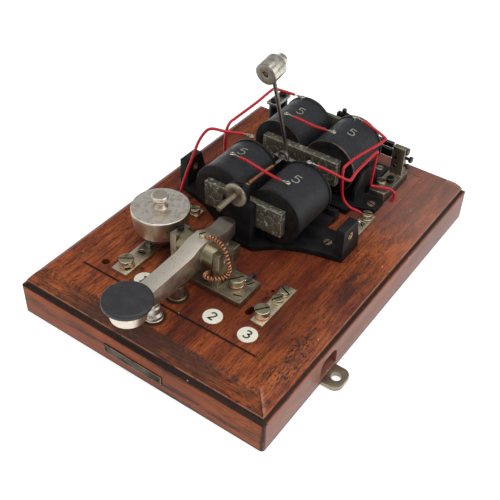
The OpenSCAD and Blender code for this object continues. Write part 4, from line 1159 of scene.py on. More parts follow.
def route_mesh(routes: Sequence[Sequence[Vector]]) -> bpy.types.Mesh:
    """A mesh of edges along some routes."""
    points, edges = [], []
    for route in routes:
        first = len(points)
        points += [tuple(p) for p in route]
        edges += [(first + i, first + i + 1) for i in range(len(route) - 1)]
    mesh = bpy.data.meshes.new("route")
    mesh.from_pydata(points, edges, [])
    return mesh


def wires(
    routes: Sequence[Sequence[Vector]], radius: float, finish: Finish, sides: int = 16
) -> bpy.types.Mesh:
    """Round wires along routes.

    Args:
        routes: their points in metres.
        radius: the wires' radius in millimetres.
        finish: their finish.
        sides: facets round a wire.

    Returns:
        The mesh of all of them.
    """
    sizes = {
        "Radius": radius * MM, "Sides": sides, "Step": WIRE_STEP * MM,
        "Material": finish.material(),
    }
    return wire_recipe().run(route_mesh(routes), sizes)


def wound(
    route: Sequence[Vector], radius: float, curl: float, pitch: float, finish: Finish,
    straight: float = 2.0, sides: int = 12,
) -> bpy.types.Mesh:
    """A wire wound round a route.

    Args:
        route: the route's points in metres.
        radius: the wire's radius in millimetres.
        curl: the turns' radius, to the middle of the wire.
        pitch: the distance from one turn to the next.
        finish: its finish.
        straight: how far it runs straight at both ends.
        sides: facets round the wire.

    Returns:
        The mesh.
    """
    sizes = {
        "Radius": radius * MM, "Sides": sides, "Step": pitch * MM / WIRE_STEPS_A_TURN,
        "Curl": curl * MM, "Pitch": pitch * MM, "Straight": straight * MM,
        "Material": finish.material(),
    }
    return coil_recipe().run(route_mesh([route]), sizes)


def repeated(
    one: BMesh, places: Sequence[tuple[Vector, tuple]], finish: Finish
) -> bpy.types.Mesh:
    """Copies of one mesh.

    Args:
        one: the mesh, about the origin.
        places: a place and three angles in radians for each copy.
        finish: their finish.

    Returns:
        The mesh of all the copies.
    """
    mesh = as_mesh("pattern piece", one)
    pattern = bpy.data.objects.new("pattern piece", mesh)
    bpy.context.scene.collection.objects.link(pattern)
    points = bpy.data.meshes.new("places")
    points.from_pydata([tuple(at) for at, _ in places], [], [])
    facing = points.attributes.new("facing", "FLOAT_VECTOR", "POINT")
    facing.data.foreach_set("vector", [v for _, turn in places for v in turn])
    values = {"Piece": pattern, "Material": finish.material()}
    result = repeat_recipe().run(points, values)
    bpy.data.objects.remove(pattern)
    bpy.data.meshes.remove(mesh)
    return result


def slotted(profile: Profile, top: float, slot: float = 1.1, deep: float = 1.2) -> BMesh:
    """A turned screw with a slot across its head.

    Args:
        profile: the screw's profile in millimetres.
        top: the height of its head's top.
        slot: the slot's width.
        deep: the slot's depth.

    Returns:
        The mesh, about the origin, with its slot along X.
    """
    reach = 2 * max(p[0] for p in profile)
    cut = bmesh.new()
    bmesh.ops.create_cube(cut, size=1.0)
    size = Matrix.Diagonal((reach * MM, slot * MM, 2 * deep * MM, 1.0))
    move = Matrix.Translation((0, 0, top * MM))
    bmesh.ops.transform(cut, matrix=move @ size, verts=cut.verts)
    objects = []
    for name, part in (("head", turned(profile, Vector(), UP, 48)), ("slot", cut)):
        objects.append(bpy.data.objects.new(name, as_mesh(name, part)))
        bpy.context.scene.collection.objects.link(objects[-1])
    modifier = objects[0].modifiers.new("slot", "BOOLEAN")
    modifier.operation = "DIFFERENCE"
    modifier.object = objects[1]
    seen = objects[0].evaluated_get(bpy.context.evaluated_depsgraph_get())
    result = bmesh.new()
    result.from_mesh(seen.to_mesh())
    for mesh in [o.data for o in objects]:
        bpy.data.meshes.remove(mesh)
    # Marks the slot's faces for painted shade.
    slot_shade = result.faces.layers.float.new("slot_shade")
    for face in result.faces:
        at = face.calc_center_median() / MM
        in_slot = abs(at.y) < slot / 2 + 0.01 and top - deep - 0.01 < at.z < top - 0.1
        face[slot_shade] = float(in_slot)
    return result


def cheese_profile(radius: float, height: float) -> list[tuple]:
    """Profile of a screw with a cylindrical head whose seat is at height 0."""
    head = [(SHANK, 0.0), (radius, 0.0), (radius, height), (0.0, height)]
    shank = [(0.0, -SCREW_LENGTH), (SHANK, -SCREW_LENGTH)]
    return shank + rounded(head, 0.45)[:-1] + [(0.0, height)]


def sunk_profile(length: float = SCREW_LENGTH) -> list[tuple]:
    """Profile of a flush screw whose face is at height 0."""
    radius, edge = 3.4, 0.12
    return [
        (0.0, -length), (SHANK, -length), (SHANK, SHANK - radius), (radius, -edge),
        (radius - edge, 0.0), (0.0, 0.0),
    ]


# Sub-assemblies


@dataclass
class BaseBoard:
    """The board, its mounting plates, nameplate and label discs."""

    half_length: float = 152.5
    plate_left: float = -27.2
    plate_right: float = 24.6
    plate_low: float = 7.9
    plate_high: float = 15.7
    plate_thick: float = 0.8
    disc_radius: float = 7.15
    disc_thick: float = 1.6
    disc_proud: float = 0.4
    figure_high: float = 6.6
    figure_line: float = 1.25
    plate_edge: float = 0.14
    rim: tuple[float, float, float] = (0.55, 0.12, 0.18)
    pins: tuple = ((-25.8, 10.2), (21.0, 9.8))
    grain_shift: float = 0.31
    discs: tuple = ((-29.5, -105.3), (32.1, -105.3), (61.1, -104.9))

    def build(self) -> None:
        """Makes every piece of the board."""
        self.board()
        add_refined("base", ("fixing_plates", "mounting_plates", 0.5, 3, PLATE))
        self.nameplate()
        self.labels()

    def board(self) -> None:
        """The board with its arrises rounded and the direction of its grain marked."""
        bm = refined("base_board", 0.4, 3, 24.0)
        grain = bm.loops.layers.float_vector.new("grain")
        for face in bm.faces:
            across = abs(face.normal.y) > 0.55
            for loop in face.loops:
                x, y, z = loop.vert.co
                loop[grain] = Vector((y + self.grain_shift, x, z)) if across else Vector((x, y, z))
        add_piece("mahogany_board", bm, MAHOGANY, "base", "base_board")

    def nameplate(self) -> None:
        """A bare plate with a raised rim, and its two pins."""
        bm = bmesh.new()
        worn = bm.faces.layers.float.new("arris")
        bmesh.ops.create_cube(bm, size=1.0)
        wide, high = self.plate_right - self.plate_left, self.plate_high - self.plate_low
        middle = Vector((
            self.plate_left + wide / 2, -self.half_length - self.plate_thick / 2,
            self.plate_low + high / 2,
        ))
        scale = Matrix.Diagonal((wide * MM, self.plate_thick * MM, high * MM, 1.0))
        bmesh.ops.transform(bm, matrix=Matrix.Translation(middle * MM) @ scale, verts=bm.verts)
        bmesh.ops.bevel(
            bm, geom=list(bm.edges), offset=self.plate_edge * MM, segments=2, profile=0.5,
            affect="EDGES",
        )
        front = min(bm.faces, key=lambda f: f.calc_center_median().y - 1e3 * f.calc_area())
        flat, slope, deep = (size * MM for size in self.rim)
        rim = bmesh.ops.inset_region(bm, faces=[front], thickness=flat, depth=0.0)
        bmesh.ops.inset_region(bm, faces=[front], thickness=slope, depth=-deep)
        for face in rim["faces"]:
            face[worn] = 1.0
        add_piece("bare_nameplate", bm, NAMEPLATE, "base", "nameplate")
        face_y = -(self.half_length + self.plate_thick)
        dome = arc(0, 0, 0.95, 0.5, (0, 0.4, 0.8, 1.2)) + [(0, 0.5)]
        pins = [
            turned([(0, 0)] + dome, Vector((x, face_y, z)) * MM, -BACK, 24) for x, z in self.pins
        ]
        add_piece("nameplate_pin_heads", merged(pins), NAMEPLATE, "base", "nameplate_pins")

    def labels(self) -> None:
        """Three discs, each with a black numeral."""
        top, low, radius = self.disc_proud, self.disc_proud - self.disc_thick, self.disc_radius
        line = rounded([(0, low), (radius, low), (radius, top), (0, top)], 0.3)
        discs = [turned(line, on_board(x, y, 0)) for x, y in self.discs]
        add_piece("label_discs", merged(discs), IVORINE, "base", "terminal_discs")
        marks = []
        for numeral, (x, y) in zip((Numeral.ONE, Numeral.TWO, Numeral.THREE), self.discs):
            marks.append(lettered(
                numeral, self.figure_high, self.figure_line,
                lambda u, v, h, x=x, y=y: on_board(x + u, y + v, top + h),
            ))
        add_piece("label_numerals", merged(marks), INK)


@dataclass
class Terminals:
    """Metal strips, their screws and the bare wire loops under them."""

    strip: float = 3.0
    foot: float = 5.0
    loop: float = 1.4
    big_radius: float = 5.6
    big_height: float = 4.8
    small_radius: float = 4.1
    small_height: float = 3.4
    foot_screw: float = 2.6
    plate_screw: float = 12.0
    tail: Route = ((31.9, -69.4, 5.75), (32.5, -68.8, 5.8), (33.2, -67.6, 6.2))

    def build(self) -> None:
        """Makes every strip, screw and loop."""
        add_refined(
            "base",
            ("earth_bar", "earth_strip", 0.35, 3, NICKEL),
            ("zinc_bar", "zinc_strip", 0.35, 3, NICKEL),
            ("link_bars", "link_strips", 0.35, 3, NICKEL),
        )
        self.cheese_heads()
        self.flush_heads()
        self.loops()

    def cheese_heads(self) -> None:
        """Large and small terminal screws, and the small one of the curled connection."""
        on_strip, on_foot = self.strip + self.loop, self.foot + self.loop
        big = [(-47.3, -103, on_strip, 37), (29.5, -73.7, on_foot, 54), (60, -86.2, on_strip, 53)]
        small = [
            (61, -69, self.strip, 59), (61.1, -59.6, self.strip, -22), (66, 49.4, on_strip, 20),
            (-45.4, -25, self.strip, 40), (-64, -25, on_strip, 70), (56, 89.8, 8, 30),
        ]
        foot = [(11, -79.8, self.foot, 20)]
        sizes = (
            ("large_terminal_screws", big, self.big_radius, self.big_height, "terminal_screws"),
            ("small_terminal_screws", small, self.small_radius, self.small_height, "small_screws"),
            ("connection_foot_screw", foot, self.foot_screw, self.foot_screw),
        )
        for name, rows, radius, height, *nodes in sizes:
            one = slotted(cheese_profile(radius, height), height)
            mesh = repeated(one, self.turned_places(rows), SCREW_NICKEL)
            add_piece(name, mesh, SCREW_NICKEL, "base", *nodes)

    def flush_heads(self) -> None:
        """Flush screws in the strips and castings, and those of the mounting plates."""
        rows = [
            (-47.2, -86.9, self.strip, 16), (36.4, -82.8, self.foot, 20),
            (37.3, -67, self.foot, 60), (66.1, 40.4, self.strip, -40), (57.5, 4.5, self.foot, 78),
            (-57.5, 4.5, self.foot, 30), (60.9, 65.3, self.foot, -12), (-60.9, 65.3, self.foot, 50),
            (43, 113, self.foot, 15), (-43, 113, self.foot, 80),
        ]
        mesh = repeated(slotted(sunk_profile(), 0.0), self.turned_places(rows), SCREW_NICKEL)
        add_piece("flush_screws", mesh, SCREW_NICKEL, "base", "countersunk_screws")
        below = [
            (Vector((side * x * MM, -72.35 * MM, 0)), (math.pi, 0.0, math.radians(30)))
            for side in (-1, 1) for x in (84, 97)
        ]
        mesh = repeated(slotted(sunk_profile(self.plate_screw), 0.0), below, SCREW_NICKEL)
        add_piece("plate_screws", mesh, SCREW_NICKEL, "base")

    @staticmethod
    def turned_places(rows: Sequence[tuple]) -> list[tuple[Vector, tuple]]:
        """Places and angles for rows of (x, y, height, slot angle in degrees)."""
        return [(on_board(x, y, z), (0.0, 0.0, math.radians(a))) for x, y, z, a in rows]

    def loops(self) -> None:
        """Open loops of bare wire that the terminal screws hold down."""
        radius = self.loop / 2 - 0.05
        rings = [
            (-47.3, -103, self.strip, -20, 5.0), (29.5, -73.7, self.foot, 80, 5.1),
            (60, -86.2, self.strip, 115, 5.1), (66, 49.4, self.strip, 150, 4.15),
            (-64, -25, self.strip, 80, 4.15),
        ]
        routes = [
            [on_board(u, v, z + self.loop / 2) for u, v in arc(x, y, r, r, degrees(15, 22, start))]
            for x, y, z, start, r in rings
        ]
        tinned = [routes.pop(3)]
        routes.append([on_board(*p) for p in self.tail])
        mesh = wires(routes, radius, FRESH_COPPER)
        add_piece("bare_wire_loops", mesh, FRESH_COPPER, "base", "wire_tails")
        add_piece("tinned_wire_loop", wires(tinned, radius, BRIGHT), BRIGHT)


@dataclass
class Protector:
    """The round lightning protector: ring on pillars, reel, and a cap that lifts off."""

    x: float = -47.0
    y: float = -63.5
    ring_z: float = 10.2
    cap_z: float = 14.3
    cap_h: float = 17.9
    cap_r: float = 22.0
    foot_r: float = 20.3
    pillars_r: float = 14.6

    def build(self) -> None:
        """Makes the fixed pieces and the lid."""
        self.fixed()
        self.lid()

    def fixed(self) -> None:
        """Pillars, ring and the wound reel under the cap."""
        pillars = []
        places = arc(self.x, self.y, self.pillars_r, self.pillars_r, degrees(120, 3, -92))
        for (x, y), low in zip(places, (3.0, 0.0, 0.0)):
            line = [(0, low), (2.4, low), (2.4, self.ring_z), (0, self.ring_z)]
            pillars.append(turned(rounded(line, 0.25), on_board(x, y, 0), UP, 40))
        add_piece("protector_feet", merged(pillars), BLACK_STEEL, "base", "protector_pillars")
        ring = [
            (3, 0), (17.4, 0), (18.6, 1), (18.6, 4), (17.4, 4), (17.4, 6), (14, 6), (14, 4), (3, 4),
        ]
        at = on_board(self.x, self.y, self.ring_z)
        add_piece(
            "protector_ring", turned(rounded(ring, 0.4, 3, True), at, UP, 96, True),
            BROWN_EBONITE, "base", "protector_base",
        )
        reel = [
            (2, 4), (12, 4), (12, 5.5), (10.5, 5.5), (10.5, 14.5), (12, 14.5), (12, 16), (2, 16),
        ]
        add_piece(
            "reel_body", turned(rounded(reel, 0.2, 2, True), at, UP, 72, True), BRASS, "base",
            "protector_reel",
        )
        turns = 15
        wave = [(10.4, 5.6)] + [
            (10.75 + 0.28 * math.sin(math.pi * k / 4), 5.6 + 8.8 * k / (8 * turns))
            for k in range(8 * turns + 1)
        ] + [(10.4, 14.4)]
        add_piece("reel_winding", turned(wave, at, UP, 72, True), COPPER, "base")

    def lid(self) -> None:
        """The nickelled cap and its turned knob."""
        high = self.cap_h
        inner = self.foot_r - 2.4
        shell = [
            (1.63, high), (self.cap_r, high), (self.cap_r, high - 4), (self.foot_r, 0), (inner, 0),
            (inner + 0.7, high - 4), (inner + 0.7, high - 2), (1.63, high - 2),
        ]
        at = on_board(self.x, self.y, self.cap_z)
        add_piece(
            "protector_lid_cap", turned(rounded(shell, 0.9, 5, True), at, UP, 160, True),
            CAP_NICKEL, "protector_lid", "protector_cap",
        )
        waist = [(4 + 1.9 * (2 * t - 1) ** 2, 7.4 * t) for t in [k / 16 for k in range(1, 16)]]
        top = [(6.3, 7.6), (6.3, 9.6), (5.6, 10.5), (0, 10.5)]
        line = rounded([(0, -2), (1.6, -2), (1.6, 0), (5.9, 0)] + waist + top, 0.35)
        at = on_board(self.x, self.y, self.cap_z + high)
        add_piece(
            "protector_finger_knob", turned(line, at, UP, 96), CAP_NICKEL, "protector_lid",
            "protector_knob",
        )


@dataclass
class TappingKey:
    """The tapping key: frame, lever, knob, contacts, spring and curled connection."""

    knob_y: float = -153.0
    pad_top: float = 31.5
    knob_radius: float = 17.2
    knob_thick: float = 5.2
    post_y: float = -129.5
    barrel_y: float = -104.0
    stop_y: float = -49.0
    pivot_y: float = -76.0
    pivot_z: float = 23.7
    connection: Route = (
        (2.62, -74, 36.4), (8, -73.8, 36.9), (15, -75, 37.1), (21.5, -77.4, 35.4), (26, -79.6, 28),
        (27, -80, 19.8), (25, -83.6, 15.9), (20, -89.3, 16.3), (14.4, -89.4, 15.6),
        (11.2, -85, 13), (11, -79.8, 10.4), (11, -79.8, 7.6),
    )
    curl: tuple[float, float, float] = (0.66, 1.4, 2.45)
    curl_straight: float = 1.1
    coil: tuple[float, float, float] = (0.35, 3.6, 1.5)

    def build(self) -> None:
        """Makes every piece of the key."""
        self.fixed()
        self.moving()
        self.between()

    def fixed(self) -> None:
        """Frame, axle, lock screws, contact posts and the spring's barrel."""
        reach = 22.1
        pin = [(0, -reach), (2.5, -reach), (2.5, reach), (0, reach)]
        post = [
            (0, 0), (7, 0), (7, 1.2), (6.5, 1.5), (6.5, 4), (5.1, 5.9), (5.1, 10.6), (4, 11.4),
            (4, 14.2), (0, 14.2),
        ]
        barrel = [
            (0, 0), (6.9, 0), (6.9, 1.4), (6.1, 1.4), (6.1, 12.6), (4.4, 12.6), (4.4, 2), (0, 2),
        ]
        stop = [(0, 0), (1.8, 0), (1.8, 17.5), (0, 17.5)]
        hub = on_board(0, self.pivot_y, self.pivot_z)
        front, middle, rear = (
            on_board(0, y, 0) for y in (self.post_y, self.barrel_y, self.stop_y)
        )
        add_refined("base", ("key_stand", "key_frame", 0.5, 3, KEY_NICKEL))
        self.add_turned(("key_pin", "key_axle", pin, 0.5, hub, RIGHT, 40, DULL_STEEL))
        add_refined("base", ("lock_screws", "set_screws", 0.2, 2, BLACK_STEEL))
        self.add_turned(
            ("front_contact", "front_contact_post", post, 0.5, front, UP, 72, POST_NICKEL),
            ("barrel", "spring_barrel", barrel, 0.3, middle, UP, 72, BARREL),
        )
        add_refined("base", ("back_stop_block", "back_stop_post", 0.4, 3, KEY_NICKEL))
        self.add_turned(
            ("back_stop_pin", "back_stop_screw", stop, 0.4, rear, UP, 32, SCREW_NICKEL)
        )

    @staticmethod
    def add_turned(*rows: tuple) -> None:
        """Adds turned pieces that stand still.

        Args:
            rows: for each, the piece's name, its node, profile and corners' radius, its place,
                axis, facets and finish.
        """
        for name, node, line, corner, at, axis, steps, finish in rows:
            add_piece(name, turned(rounded(line, corner), at, axis, steps), finish, "base", node)

    def moving(self) -> None:
        """Lever, knob and its screw, contact tips, hub screw and plunger."""
        add_refined("key", ("key_arm", "key_lever", 0.55, 3, LEVER_NICKEL))
        r, t = self.knob_radius, self.knob_thick
        rim = arc(r - 1.8, t - 2.0, 1.8, 1.8, degrees(10, 10))
        line = [(0, 4), (2.03, 4), (2.03, 0), (r - 2.4, 0), (r - 0.4, 1), (r, 1.8), (r, 3.2)]
        line = rounded(line, 0.4) + rim + [(0, t)]
        at = on_board(0, self.knob_y, self.pad_top)
        add_piece("key_button", turned(line, at, UP, 128), EBONITE, "key", "key_knob")
        add_refined("key", ("button_screw", "knob_screw", 0.2, 2, DULL_STEEL))
        tips = []
        for y, low, high in ((self.post_y, 15.9, 20.9), (self.stop_y, 17.6, 20.8)):
            line = rounded([(0, low), (1.5, low), (1.5, high), (0, high)], 0.4)
            tips.append(turned(line, on_board(0, y, 0), UP, 32))
        add_piece("contact_tips", merged(tips), BRIGHT, "key", "lever_contacts")
        line = [(0, -4.6), (1.3, -4.6)] + rounded([(1.3, 0), (2.6, 0), (2.6, 2.2), (0, 2.2)], 0.3)
        place = [(on_board(0, -74, 35.2), (0.0, 0.0, math.radians(60)))]
        mesh = repeated(slotted(line, 2.2), place, SCREW_NICKEL)
        add_piece("hub_screw", mesh, SCREW_NICKEL, "key", "pigtail_screw")
        line = [(0, 10), (4.35, 10), (4.35, 13.1)] + arc(3, 13.1, 1.3, 1.2, degrees(10, 10))
        mesh = turned(line + [(0, 14.3)], on_board(0, self.barrel_y, 0))
        add_piece("spring_plunger", mesh, BRIGHT, "plunger", "key_plunger")

    def between(self) -> None:
        """The curled copper connection and the spring in the barrel."""
        route = [on_board(*p) for p in self.connection]
        mesh = wound(route, *self.curl, COPPER, self.curl_straight)
        bend = Stretch("base", "key", route[-1], route[0])
        add_piece("curled_connection", mesh, COPPER, bend, "pigtail")
        low, high = on_board(0, self.barrel_y, 2.4), on_board(0, self.barrel_y, 9.8)
        mesh = wound([low, low.lerp(high, 0.5), high], *self.coil, BRIGHT, 0.0)
        bend = Stretch("base", "plunger", low, high)
        add_piece("barrel_spring", mesh, BRIGHT, bend, "key_spring")


@dataclass
class Magnets:
    """Two pairs of coils on iron yokes, their numerals and wire eyelets."""

    coil_z: float = 29.5
    flange_r: float = 22.75
    core_r: float = 5.0
    tenon_r: float = 4.0
    flange: float = 1.6
    inset: float = 0.6
    pole: float = 2.4
    tube_r: float = 7.0
    turn: float = 0.6
    figure_high: float = 8.2
    figure_line: float = 0.88
    pairs: tuple = ((24.0, -21.5, 45.0, 5.5), (23.5, 57.0, 46.0, 6.5))
    shifts: tuple = (((0.0, 5.5), (3.8, 1.0)), ((3.7, 2.2), (5.4, 1.0)))
    eyelets: Route = (
        (-25, -5, 55.2), (-27, 23, 55.2), (27.6, -10, 55.2), (25.5, 22, 54.2),
        (-21.5, 63, 57.7), (-25, 92, 57.7), (21.8, 63, 57.7), (24, 92, 57.7),
    )

    def build(self) -> None:
        """Makes yokes, cores, bobbins, windings, numerals and eyelets."""
        add_refined("base", ("yoke_bars", "magnet_yokes", 0.6, 3, YOKE_IRON))
        cores, bobbins, windings, marks = [], [], [], []
        for (x, y, length, yoke), shifts in zip(self.pairs, self.shifts):
            for side, shift in zip((-1, 1), shifts):
                at = on_board(side * x, y, self.coil_z)
                cores.append(self.core(at, length, yoke))
                bobbins.append(self.bobbin(at, length))
                windings.append(self.winding(at, length))
                marks.append(self.numeral(side * x, y + 0.5 * length, shift))
        add_piece("iron_cores", merged(cores), CORE_IRON, "base", "magnet_cores")
        add_piece("bobbin_flanges", merged(bobbins), BLACK_FLANGE, "base", "coil_bobbins")
        add_piece("cloth_windings", merged(windings), CLOTH, "base", "coil_windings")
        add_piece("coil_numerals", merged(marks), COIL_MARK, "base")
        self.rings()

    def core(self, at: Vector, length: float, yoke: float) -> BMesh:
        """A core with a riveted tenon in its yoke and a rounded pole."""
        end = length + self.pole
        line = [
            (0, -yoke), (self.tenon_r - 0.5, -yoke), (self.tenon_r - 0.45, -yoke + 0.35),
            (self.tenon_r, -yoke + 0.5), (self.tenon_r, 0), (self.core_r, 0), (self.core_r, end),
            (0, end),
        ]
        return turned(rounded(line, 0.3), at, BACK, 56)

    def bobbin(self, at: Vector, length: float) -> BMesh:
        """A tube with a rounded flange at each end."""
        bore, tube, rim, f = self.core_r + 0.03, self.tube_r, self.flange_r, self.flange
        line = [
            (bore, 0), (rim, 0), (rim, f), (tube, f), (tube, length - f), (rim, length - f),
            (rim, length), (bore, length),
        ]
        return turned(rounded(line, 0.35, 3, True), at, BACK, 128, True)

    def winding(self, at: Vector, length: float) -> BMesh:
        """A cloth cover with slight swells from the turns and layers under it."""
        low, high = self.flange, length - self.flange
        inner, outer = self.tube_r + 0.03, self.flange_r - self.inset
        turns_high, layers_high, room, round_off = 0.05, 0.10, 0.15, 0.35
        count = int((high - low) / self.turn)
        line = [(inner, low)]
        for k in range(count + 1):
            t = k / count
            turns = turns_high * math.sin(math.pi * k / 1.5)
            swell = turns + layers_high * math.sin(6.2 * t * math.pi)
            edge = round_off * max(0.0, 1 - 14 * min(t, 1 - t))
            line.append((outer - room + swell - edge, low + (high - low) * t))
        line.append((inner, high))
        return turned(line, at, BACK, 128, True)

    def numeral(self, x: float, y: float, shift: tuple[float, float]) -> BMesh:
        """A plain five painted on the upper face of a coil, moved round and along it."""
        radius = self.flange_r - self.inset - 0.02

        def place(u: float, v: float, h: float) -> Vector:
            angle = (u + shift[0]) / radius
            away = radius + h
            return on_board(
                x + away * math.sin(angle), y + v + shift[1], self.coil_z + away * math.cos(angle)
            )

        return lettered(Numeral.FIVE, self.figure_high, self.figure_line, place)

    def rings(self) -> None:
        """Eyelets that the wires are soldered to."""
        wire, ring = 0.75, 1.3
        stalk = [(0, -4.0), (0.6, -4.0), (0.6, -0.6), (0, -0.6)]
        loop = arc(ring, 0, wire, wire, degrees(30, 12))
        one = merged([turned(stalk, Vector(), UP, 12), turned(loop, Vector(), UP, 24, True)])
        places = [(on_board(*p), (0.0, 0.0, 0.4 * i)) for i, p in enumerate(self.eyelets)]
        add_piece("wire_eyelets", repeated(one, places, BRIGHT), BRIGHT, "base", "coil_eyelets")


@dataclass
class BellMovement:
    """The black bell frame, its inserts, the tension spindle, nut and pulling spring."""

    spindle_z: float = 47.2
    spindle_r: float = 2.25
    nut_y: float = -36.4
    nut_r: float = 9.6
    insert_y: float = 5.0
    insert_z: float = 19.2
    spring: Route = (
        (0, -22.6, 47.2), (0, -16, 47.1), (0, 0, 46), (0, 13.5, 44.4), (0, 16.5, 44.4),
    )
    coil: tuple[float, float, float] = (0.3, 1.3, 1.1)
    lead: float = 3.2
    spindle_start: float = -56.3
    spindle_end: float = -21.0
    thread_pitch: float = 0.7
    thread_depth: float = 0.16
    ribs: int = 90

    def build(self) -> None:
        """Makes frame, inserts, pins, spindle, nut and spring."""
        add_refined("base", ("bell_casting", "bell_frame", 0.8, 3, JAPAN))
        line = rounded([(1.8, 0), (3.2, 0), (3.2, 7), (1.8, 7)], 0.25, 2, True)
        inserts = [
            turned(
                line, on_board(side * 68.3, self.insert_y, self.insert_z), side * RIGHT, 40, True
            )
            for side in (-1, 1)
        ]
        add_piece("thread_inserts", merged(inserts), BRASS, "base", "lug_inserts")
        line = rounded([(0, -26), (1.5, -26), (1.5, 26), (0, 26)], 0.3)
        pins = [turned(line, on_board(0, y, 8.2), RIGHT, 32) for y in (30.0, 109.0)]
        add_piece("hinge_pins", merged(pins), DULL_STEEL, "base", "pivot_pins")
        add_piece("threaded_spindle", self.spindle(), SPINDLE_METAL, "spindle", "tension_spindle")
        add_piece("milled_nut", self.nut(), NUT_METAL, "thumb_nut", "thumb_nut")
        route = [on_board(*p) for p in self.spring]
        mesh = wound(route, *self.coil, COPPER, self.lead, 10)
        bend = Stretch("base", "hammer", route[0], route[-1])
        add_piece("pulling_spring", mesh, COPPER, bend, "retracting_spring")

    def spindle(self) -> BMesh:
        """A rod with a real thread, bored at its end for the spring's straight lead."""
        start, end, pitch = self.spindle_start, self.spindle_end, self.thread_pitch
        bore, bored, chamfer_length, chamfer_deep = 0.6, 3.8, 0.6, 0.5
        sides, rows_a_turn = 20, 5
        rows = int((end - start) / pitch * rows_a_turn)
        bm = bmesh.new()
        bm.faces.layers.float.new("arris")
        angles = [2 * math.pi * k / sides for k in range(sides)]
        rings = []
        for i in range(rows + 1):
            y = start + (end - start) * i / rows
            chamfer = chamfer_deep * max(0.0, 1 - (y - start) / chamfer_length)
            ring = []
            for k, a in enumerate(angles):
                phase = (y / pitch - k / sides) % 1.0
                r = self.spindle_r - 2 * self.thread_depth * abs(phase - 0.5) - chamfer
                at = on_board(r * math.cos(a), y, self.spindle_z + r * math.sin(a))
                ring.append(bm.verts.new(at))
            rings.append(ring)
        for y in (end, end - bored):
            circle = arc(0, self.spindle_z, bore, bore, angles)
            rings.append([bm.verts.new(on_board(x, y, z)) for x, z in circle])
        for low, high in zip(rings, rings[1:]):
            skin(bm, low, high)
        bm.faces.new(rings[0])
        bm.faces.new(rings[-1][::-1])
        bmesh.ops.recalc_face_normals(bm, faces=bm.faces)
        return bm

    def nut(self) -> bpy.types.Mesh:
        """A thin round nut with a milled rim, its ribs set round it by a recipe."""
        r, bore = self.nut_r - 0.35, self.spindle_r + 0.05
        line = [(bore, 0), (r, 0), (r, 1.5), (3.75, 1.5), (3.75, 2), (bore, 2)]
        at = on_board(0, self.nut_y, self.spindle_z)
        disc = turned(rounded(line, 0.3, 2, True), at, BACK, 96, True)
        rib = bmesh.new()
        rib.faces.layers.float.new("arris")
        corners = [(-0.26, -0.2), (0.0, 0.33), (0.26, -0.2)]
        ends = [
            [rib.verts.new(Vector((u * MM, y * MM, (r + v) * MM))) for u, v in corners]
            for y in (0.25, 1.25)
        ]
        skin(rib, *ends)
        rib.faces.new(ends[0][::-1])
        rib.faces.new(ends[1])
        bmesh.ops.recalc_face_normals(rib, faces=rib.faces)
        turns = [2 * math.pi * k / self.ribs for k in range(self.ribs)]
        places = [(at, (0.0, turn, 0.0)) for turn in turns]
        ribs = bmesh.new()
        ribs.from_mesh(repeated(rib, places, NUT_METAL))
        return merged([disc, ribs])


@dataclass
class Hammer:
    """The bell's armature with its arch, rod and hammer head, which swing together."""

    face: tuple[float, float] = (-3.3, 129.3)
    tilt: float = 10.07
    radius: float = 8.2
    length: float = 13.5
    rod_radius: float = 1.45
    rod: Profile = (
        (32.95, 27.5), (32.95, 40.0), (32.95, 43.4), (32.55, 45.8), (31.0, 50.0), (5.0, 128.5),
    )

    def build(self) -> None:
        """Makes armature, arch, rod, head and the head's screw."""
        add_refined(
            "hammer",
            ("bell_keeper", "bell_armature", 0.4, 3, ARMATURE),
            ("arch", "arch_bracket", 0.3, 2, DULL_STEEL),
        )
        mesh = wires([[on_board(0, *p) for p in self.rod]], self.rod_radius, DULL_STEEL, 24)
        add_piece("bent_rod", mesh, DULL_STEEL, "hammer", "hammer_rod")
        tilt = math.radians(self.tilt)
        axis = Vector((0, math.cos(tilt), math.sin(tilt)))
        line = [
            (0, 5), (2.2, 5), (2.2, 0), (self.radius, 0), (self.radius, self.length), (4.2, 19.5),
            (4, 21.4), (1.53, 21.4), (1.53, 13), (0, 13),
        ]
        mesh = turned(rounded(line, 0.6, 4), on_board(0, *self.face), axis, 96)
        add_piece("hammer_weight", mesh, WEIGHT_NICKEL, "hammer", "hammer_head")
        add_refined("hammer", ("weight_screw", "hammer_screw", 0.15, 2, BLACK_STEEL))


@dataclass
class Relay:
    """The rear frame with relay tongue, contacts, brackets and adjuster."""

    def build(self) -> None:
        """Makes every piece of the relay."""
        add_refined("base", ("relay_casting", "relay_frame", 0.7, 3, JAPAN))
        add_refined(
            "relay_tongue",
            ("relay_keeper", "relay_armature", 0.4, 3, CORE_IRON),
            ("tongue_arms", "contact_arms", 0.3, 3, BLACK_STEEL),
        )
        add_refined(
            "base",
            ("contact_angle", "contact_bracket", 0.4, 3, KEY_NICKEL),
            ("insulating_block", "bracket_insulator", 0.3, 3, EBONITE),
            ("contact_screw_set", "contact_screws", 0.3, 3, BLACK_STEEL),
            ("side_bracket", "left_bracket", 0.3, 3, DULL_STEEL),
            ("side_bracket_posts", "left_bracket_posts", 0.35, 3, JAPAN),
            ("tongue_adjuster", "relay_adjuster", 0.25, 3, BLACK_STEEL),
        )


